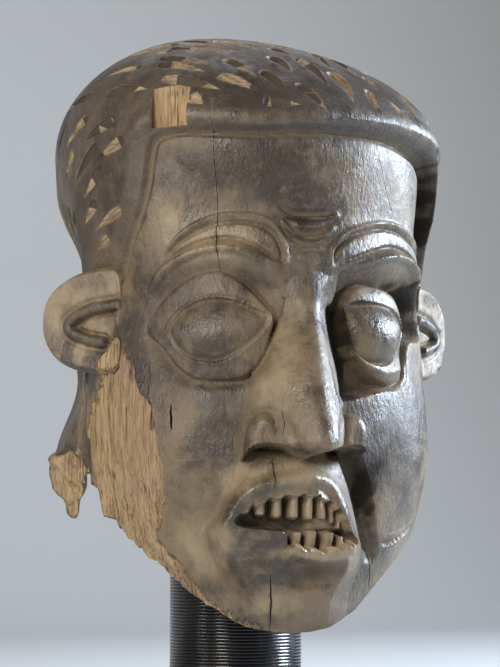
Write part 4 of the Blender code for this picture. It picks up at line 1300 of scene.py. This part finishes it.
class Tree:
    # short words for building a material
    def __init__(self, name):
        self.material = bpy.data.materials.new(name)
        self.material.use_nodes = True
        self.nodes, self.links = self.material.node_tree.nodes, self.material.node_tree.links
        self.shader = self.nodes["Principled BSDF"]

    def put(self, target, value):
        if isinstance(value, bpy.types.NodeSocket):
            self.links.new(value, target)
        elif isinstance(value, tuple) and len(value) == 3 and target.type == "RGBA":
            target.default_value = (*value, 1)
        elif value is not None:
            target.default_value = value

    def math(self, how, a, b=None):
        n = self.nodes.new("ShaderNodeMath")
        n.operation = how
        for target, value in zip(n.inputs, (a, b)):
            self.put(target, value)
        return n.outputs[0]

    def vector(self, how, a, b=None):
        n = self.nodes.new("ShaderNodeVectorMath")
        n.operation = how
        self.put(n.inputs[0], a)
        if how == "SCALE":
            self.put(n.inputs["Scale"], b)
        else:
            self.put(n.inputs[1], b)
        return n.outputs["Value" if how == "DOT_PRODUCT" else "Vector"]

    def place(self, size=(1, 1, 1), shift=(0, 0, 0), turn=(0, 0, 0), spot=None):
        if not hasattr(self, "spot"):
            self.spot = self.nodes.new("ShaderNodeTexCoord").outputs["Object"]
        n = self.nodes.new("ShaderNodeMapping")
        self.links.new(spot or self.spot, n.inputs["Vector"])
        n.inputs["Scale"].default_value, n.inputs["Location"].default_value = size, shift
        n.inputs["Rotation"].default_value = turn
        return n.outputs[0]

    def noise(self, where, scale, detail=3.0, rough=0.5):
        n = self.nodes.new("ShaderNodeTexNoise")
        self.links.new(where, n.inputs["Vector"])
        for key, value in (("Scale", scale), ("Detail", detail), ("Roughness", rough)):
            n.inputs[key].default_value = value
        return n.outputs["Fac"]

    def cells(self, where, scale):
        n = self.nodes.new("ShaderNodeTexVoronoi")
        self.links.new(where, n.inputs["Vector"])
        n.inputs["Scale"].default_value = scale
        return n

    def band(self, value, low, high, start=0.0, end=1.0):
        n = self.nodes.new("ShaderNodeMapRange")
        n.interpolation_type = "SMOOTHSTEP"
        for target, v in zip(n.inputs, (value, low, high, start, end)):
            self.put(target, v)
        return n.outputs[0]

    def mark(self, name, what="Fac"):
        n = self.nodes.new("ShaderNodeAttribute")
        n.attribute_name = name
        return n.outputs[what]

    def mix(self, share, a, b):
        n = self.nodes.new("ShaderNodeMix")
        n.data_type = "RGBA"
        self.put(n.inputs["Factor"], share)
        self.put(n.inputs[6], a)
        self.put(n.inputs[7], b)
        return n.outputs[2]

    def layer(self, colour, value, low, high, most, key):
        # another colour over this one, from none at low to its most at high
        return self.mix(self.band(value, low, high, 0.0, most), colour, finish[key])

    def look(self, colour, rough, normal=None):
        for key, value in (("Base Color", colour), ("Roughness", rough), ("Normal", normal)):
            self.put(self.shader.inputs[key], value)
        return self.material

    def bump(self, height, strength, distance, before=None):
        n = self.nodes.new("ShaderNodeBump")
        self.links.new(height, n.inputs["Height"])
        n.inputs["Strength"].default_value, n.inputs["Distance"].default_value = strength, distance
        if before is not None:
            self.links.new(before, n.inputs["Normal"])
        return n.outputs["Normal"]


def rawColour(t):
    fibre = t.noise(t.place((1, 1, 0.045)), 900, 4, 0.6)
    strand = t.noise(t.place((1, 1, 0.07), (0.3, 0.1, 0)), 260, 3, 0.55)
    colour = t.mix(t.band(fibre, 0.36, 0.66), finish["rawDark"], finish["raw"])
    colour = t.layer(colour, strand, 0.38, 0.62, 0.6, "rawLight")
    splits = t.noise(t.place((1, 1, 0.03), (0.5, 0.2, 0)), 520, 3, 0.5)
    colour = t.layer(colour, splits, 0.58, 0.66, 0.85, "rawSplit")
    tint = t.noise(t.place((1, 1, 0.35), (0.2, 0.6, 0)), 24, 3, 0.5)
    colour = t.layer(colour, tint, 0.45, 0.66, 0.4, "rawPink")
    dirtAndPaintedShade = t.noise(t.place((1, 1, 0.5)), 38, 4, 0.6)
    return t.layer(colour, dirtAndPaintedShade, 0.52, 0.72, 0.55, "rawDirt"), fibre, strand


def woodRough(t, cloud, patch, proud, dullAndPaintedShade, raw):
    rough = t.math("ADD", 0.32, t.band(cloud, 0.36, 0.68, 0.0, 0.28))
    rough = t.math("ADD", rough, t.band(patch, 0.45, 0.70, 0.0, 0.10))
    rough = t.math("ADD", rough, t.band(proud, 0.0, -0.6, 0.0, 0.22))
    rough = t.math("SUBTRACT", rough, t.band(proud, 0.15, 0.8, 0.0, 0.06))
    rough = t.math("ADD", rough, t.math("MULTIPLY", dullAndPaintedShade, 0.24))
    rough = t.math("MAXIMUM", t.math("ADD", rough, t.math("MULTIPLY", raw, 0.42)), 0.14)
    return t.math("MINIMUM", rough, 0.92)


def woodRelief(t, grain, raw, fibre, strand):
    # faint adze marks: each cell is a small plane tipped its own way
    where = t.place((1, 1, 0.72))
    cell = t.cells(where, 70)
    tip = t.vector("SUBTRACT", cell.outputs["Color"], (0.5, 0.5, 0.5))
    away = t.vector("SUBTRACT", where, cell.outputs["Position"])
    normal = t.bump(t.vector("DOT_PRODUCT", tip, away), 0.20, 0.35)
    normal = t.bump(t.noise(t.place((1, 1, 0.6)), 75, 4, 0.6), 0.35, 0.0028, normal)
    normal = t.bump(t.noise(t.place((1, 1, 0.55)), 380, 4, 0.65), 0.70, 0.0010, normal)
    normal = t.bump(grain, 0.16, 0.0009, normal)
    scratch = t.noise(t.place((1, 1, 0.02), (0, 0, 0), (0.5, 0.3, 0)), 1400, 2, 0.5)
    normal = t.bump(t.band(scratch, 0.62, 0.70), 0.12, 0.0004, normal)
    rawRelief = t.math("MULTIPLY", raw, t.math("ADD", fibre, t.math("MULTIPLY", strand, 1.4)))
    return t.bump(rawRelief, 0.8, 0.0035, normal)


def carvedWood():
    t = Tree("carvedWood")
    grain = t.noise(t.place((1, 1, 0.06)), 620, 4, 0.62)
    broad = t.noise(t.place(), 17, 5, 0.6)
    cloud = t.noise(t.place((1, 1, 0.7), (0.4, 0.2, 0.1)), 48, 5, 0.65)
    patch = t.noise(t.place((1, 1, 1.6), (0.7, 0.1, 0.3)), 90, 4, 0.7)
    proud, stainAndPaintedLight, dullAndPaintedShade = (t.mark(name) for name in ("proud", "stainAndPaintedLight", "dullAndPaintedShade"))
    tone = t.math("ADD", broad, t.math("MULTIPLY", stainAndPaintedLight, 0.20))
    tone = t.math("ADD", tone, t.math("MULTIPLY", t.math("SUBTRACT", cloud, 0.5), 0.6))
    colour = t.mix(t.band(tone, 0.36, 0.66), finish["polishedAndPaintedShade"], finish["dusty"])
    colour = t.layer(colour, patch, 0.50, 0.72, 0.6, "olive")
    colour = t.layer(colour, patch, 0.46, 0.30, 0.55, "polishedAndPaintedShade")
    hairShare = t.math("MULTIPLY", t.mark("hair"), t.band(cloud, 0.30, 0.62, 0.1, 0.6))
    colour = t.mix(hairShare, colour, finish["hair"])
    colour = t.layer(colour, grain, 0.52, 0.78, 0.55, "grain")
    # dust lies in the hollows, and the high parts are rubbed
    colour = t.layer(colour, proud, -0.08, -0.7, 0.6, "hollow")
    rubbed = t.math("MULTIPLY", t.band(proud, 0.10, 0.65), t.band(cloud, 0.42, 0.62))
    colour = t.mix(t.math("MULTIPLY", rubbed, 0.5), colour, finish["worn"])
    # paler where the stain mark is above 0: dust, with painted light on the left sides of the nose and brow
    # and a painted highlight on the lower lip
    pale = t.math("MULTIPLY", t.band(stainAndPaintedLight, 0.10, 0.9), t.band(cloud, 0.36, 0.60, 0.35, 0.85))
    colour = t.mix(pale, colour, finish["pale"])
    # darker where the stain mark is below 0: polished patina, with painted shade in the deep pits, gaps and
    # valleys
    colour = t.mix(t.math("MULTIPLY", t.band(stainAndPaintedLight, -0.10, -0.9), 0.6), colour, finish["polishedAndPaintedShade"])
    specks = t.noise(t.place((1, 1, 0.8)), 1300, 2, 0.5)
    colour = t.layer(colour, specks, 0.60, 0.72, 0.40, "speck")
    # lighter tan on the teeth and lower lip: worn wood, and a painted highlight
    toothTanAndHighlightShare = t.math("MULTIPLY", t.mark("toothTanAndHighlight"), t.band(cloud, 0.66, 0.40, 0.45, 1.0))
    colour = t.mix(t.math("MULTIPLY", toothTanAndHighlightShare, 0.75), colour, finish["toothTanAndHighlight"])
    rawTone, fibre, strand = rawColour(t)
    raw = t.mark("raw")
    edge = t.math("ADD", raw, t.math("MULTIPLY", t.math("SUBTRACT", fibre, 0.5), 0.9))
    raw = t.math("MULTIPLY", t.band(edge, 0.40, 0.58), t.math("GREATER_THAN", raw, 0.02))
    colour = t.mix(raw, colour, rawTone)
    # painted shade in the deep dull places: the pits and gaps beside the eyes, the hollows under the wings
    # and the gap by the hair
    paintedShadeShare = t.math("MULTIPLY", dullAndPaintedShade, t.math("SUBTRACT", 1.0, raw))
    colour = t.layer(colour, paintedShadeShare, 0.5, 1.0, 0.85, "dirtAndPaintedShade")
    bore = t.band(t.mark("bore"), 0.3, 0.9)
    colour = t.mix(t.math("MULTIPLY", bore, 0.8), colour, finish["bore"])
    rough = woodRough(t, cloud, patch, proud, dullAndPaintedShade, raw)
    t.put(t.shader.inputs["Specular IOR Level"], t.band(dullAndPaintedShade, 0.1, 0.9, 0.6, 0.12))
    return t.look(colour, rough, woodRelief(t, grain, raw, fibre, strand))


def chippedWood():
    t = Tree("chippedWood")
    spot = t.mark("chipSpot", "Vector")
    own = t.vector("ADD", spot, t.vector("SCALE", t.place((1, 1, 1)), 0.15))
    grain = t.noise(t.place((0.10, 1, 1), spot=own), 900, 3, 0.6)
    streak = t.noise(t.place((0.14, 1, 1), (0.2, 0, 0), spot=own), 330, 3, 0.5)
    cloud = t.noise(t.place(), 55, 4, 0.6)
    split = t.nodes.new("ShaderNodeSeparateXYZ")
    t.put(split.inputs[0], spot)
    colour = t.mix(t.band(grain, 0.36, 0.62), finish["chipGrain"], finish["chip"])
    colour = t.layer(colour, streak, 0.45, 0.68, 0.5, "chipLight")
    colour = t.layer(colour, cloud, 0.46, 0.70, 0.45, "chipCloud")
    # the deep line is painted dark as painted shade in the crease, and some of the cuts are dark with dirt
    colour = t.layer(colour, split.outputs["Z"], -0.0034, -0.0041, 0.85, "chipLineShade")
    colour = t.layer(colour, t.mark("chipTone"), 0.75, 0.1, 0.30, "chipOld")
    return t.look(colour, t.band(cloud, 0.3, 0.7, 0.52, 0.74), t.bump(grain, 0.35, 0.0006))


def splitWood():
    t = Tree("splitWood")
    colour, fibre, strand = rawColour(t)
    return t.look(colour, 0.82, t.bump(t.math("ADD", fibre, strand), 0.8, 0.0022))


def crackDark():
    t = Tree("crackDark")
    tone = t.noise(t.place(), 300, 3, 0.6)
    return t.look(t.mix(tone, finish["crack"], finish["crackDust"]), 0.85)


def blackGloss():
    t = Tree("blackGloss")
    dust = t.noise(t.place((1, 1, 0.4)), 60, 5, 0.65)
    colour = t.mix(t.band(dust, 0.52, 0.75, 0.0, 0.35), finish["gloss"], finish["glossDust"])
    normal = t.bump(t.noise(t.place(), 700, 3, 0.5), 0.12, 0.0003)
    return t.look(colour, t.band(dust, 0.35, 0.75, 0.14, 0.34), normal)


def blackSatin():
    t = Tree("blackSatin")
    wear = t.noise(t.place(), 34, 5, 0.6)
    fine = t.noise(t.place((1, 1, 1)), 1100, 3, 0.6)
    colour = t.mix(t.band(wear, 0.48, 0.72, 0.0, 0.5), finish["satin"], finish["satinWorn"])
    return t.look(colour, t.band(wear, 0.3, 0.7, 0.36, 0.52), t.bump(fine, 0.25, 0.0004))


def makeMask():
    wood, chipped, split, dark = carvedWood(), chippedWood(), splitWood(), crackDark()
    head = makeHead()
    for material in (wood, chipped, split, dark):
        head.data.materials.append(material)
    print("head carved:", len(head.data.polygons), "faces")
    lobes = [makeEar(name, ear) for name, ear in zip(("rightEar", "leftEar"), ears)]
    for lobe in lobes:
        lobe.data.materials.append(wood)
        cut(head, lobe, "UNION")
    spots = chipSpots()
    tools = [makeBrokenBlock(split), makeTornEdge(split), makeHairCuts(spots, chipped), makeCracks(dark)]
    for tool in tools:
        cut(head, tool, "DIFFERENCE")
    baked(head)
    for lobe in lobes:
        carryMarks(head.data, lobe.data)
    markCuts(head.data, spots, 1)    # slot 1 is the chipped wood
    for tool in lobes + tools:
        bpy.data.objects.remove(tool)
    head.data.shade_smooth()
    head.data.set_sharp_from_angle(angle=math.radians(38))
    head.data.validate()
    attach(head, "root")
    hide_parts("mask")
    print("mask made:", sum(len(p.vertices) - 2 for p in head.data.polygons), "triangles")


# the stand's ribbed post and round foot
post = {"radius": 0.0470, "foot": 0.0183, "top": 0.4677, "pitch": 0.0023, "ribDepth": 0.0006, "sides": 64}
foot = {"radius": 0.120, "height": 0.018, "edge": 0.0035, "sides": 128, "collar": 0.060,
        "groove": (0.0535, 0.0530, 0.0525)}


def ribTree(material):
    tree = bpy.data.node_groups.new("ribbedTube", "GeometryNodeTree")
    face = tree.interface
    names = {}
    face.new_socket("Geometry", in_out="INPUT", socket_type="NodeSocketGeometry")
    for name in ("Radius", "Height", "Pitch", "Rib Depth"):
        item = face.new_socket(name, in_out="INPUT", socket_type="NodeSocketFloat")
        names[name] = item.identifier
    for name in ("Sides", "Rows"):
        item = face.new_socket(name, in_out="INPUT", socket_type="NodeSocketInt")
        names[name] = item.identifier
    face.new_socket("Geometry", in_out="OUTPUT", socket_type="NodeSocketGeometry")
    add, link = tree.nodes.new, tree.links.new
    start, end = add("NodeGroupInput"), add("NodeGroupOutput")
    tube, move = add("GeometryNodeMeshCylinder"), add("GeometryNodeSetPosition")
    paint, real = add("GeometryNodeSetMaterial"), add("GeometryNodeRealizeInstances")
    tube.fill_type = "TRIANGLE_FAN"
    pairs = (("Sides", "Vertices"), ("Rows", "Side Segments"), ("Radius", "Radius"), ("Height", "Depth"))
    for ours, theirs in pairs:
        link(start.outputs[ours], tube.inputs[theirs])

    def number(how, a, b=None):
        n = add("ShaderNodeMath")
        n.operation = how
        for target, value in zip(n.inputs, (a, b)):
            if isinstance(value, bpy.types.NodeSocket):
                link(value, target)
            elif value is not None:
                target.default_value = value
        return n.outputs[0]

    place = add("GeometryNodeInputPosition")
    split, join = add("ShaderNodeSeparateXYZ"), add("ShaderNodeCombineXYZ")
    link(place.outputs[0], split.inputs[0])
    upward = number("DIVIDE", number("ADD", split.outputs["Z"], 5.0), start.outputs["Pitch"])
    turns = number("MULTIPLY", number("FRACT", upward), 2.0)
    # a rounded rib with a narrow groove
    groove = number("POWER", number("ABSOLUTE", number("SUBTRACT", turns, 1.0)), 3.0)
    inward = number("MULTIPLY", groove, start.outputs["Rib Depth"])
    shrink = number("DIVIDE", inward, start.outputs["Radius"])
    keep = number("SUBTRACT", 1.0, shrink)
    for axis in "XY":
        link(number("MULTIPLY", split.outputs[axis], keep), join.inputs[axis])
    link(split.outputs["Z"], join.inputs["Z"])
    link(tube.outputs["Mesh"], move.inputs["Geometry"])
    link(join.outputs[0], move.inputs["Position"])
    link(move.outputs["Geometry"], real.inputs["Geometry"])
    link(real.outputs["Geometry"], paint.inputs["Geometry"])
    paint.inputs["Material"].default_value = material
    link(paint.outputs["Geometry"], end.inputs["Geometry"])
    return tree, names


def makePost():
    gloss = blackGloss()
    tree, names = ribTree(gloss)
    obj = meshFrom("ribbedPost", [(0, 0, 0)], [])
    height = post["top"] - post["foot"]
    change = obj.modifiers.new("ribs", "NODES")
    change.node_group = tree
    rows = int(round(height / post["pitch"] * 4))
    values = (post["radius"], height, post["pitch"], post["ribDepth"], post["sides"], rows)
    for name, value in zip(names, values):
        change[names[name]] = value
    baked(obj)
    obj.data.transform(Matrix.Translation((0, 0, (post["top"] + post["foot"]) / 2)))
    obj.data.shade_smooth()
    obj.data.set_sharp_from_angle(angle=math.radians(60))
    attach(obj, "root")
    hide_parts("stand_post")
    print("post made:", len(obj.data.polygons), "faces")


def makeFoot():
    e, r, top = foot["edge"], foot["radius"], foot["height"]
    profile = [(0.0, 0.0), (r - 0.004, 0.0), (r - 0.0008, 0.0006), (r, 0.002)]
    turns = np.linspace(0, math.pi / 2, 7)
    profile += [(r - e + e * math.cos(a), top - e + e * math.sin(a)) for a in turns]
    outside, deepest, inside = foot["groove"]
    profile += [(foot["collar"], top), (outside, top), (deepest, top - 0.0006), (inside, top), (0.0, top)]
    steps = foot["sides"]
    angles = np.linspace(0, 2 * np.pi, steps, endpoint=False)
    rings = np.array([[(q * math.cos(a), q * math.sin(a), z) for a in angles] for q, z in profile[1:-1]])
    obj = closedLoft("roundFoot", rings, (0, 0, 0), (0, 0, top))
    obj.data.materials.append(blackSatin())
    obj.data.shade_smooth()
    obj.data.set_sharp_from_angle(angle=math.radians(35))
    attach(obj, "root")
    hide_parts("stand_foot")
    print("foot made:", len(obj.data.polygons), "faces")


makeMask()
makePost()
makeFoot()
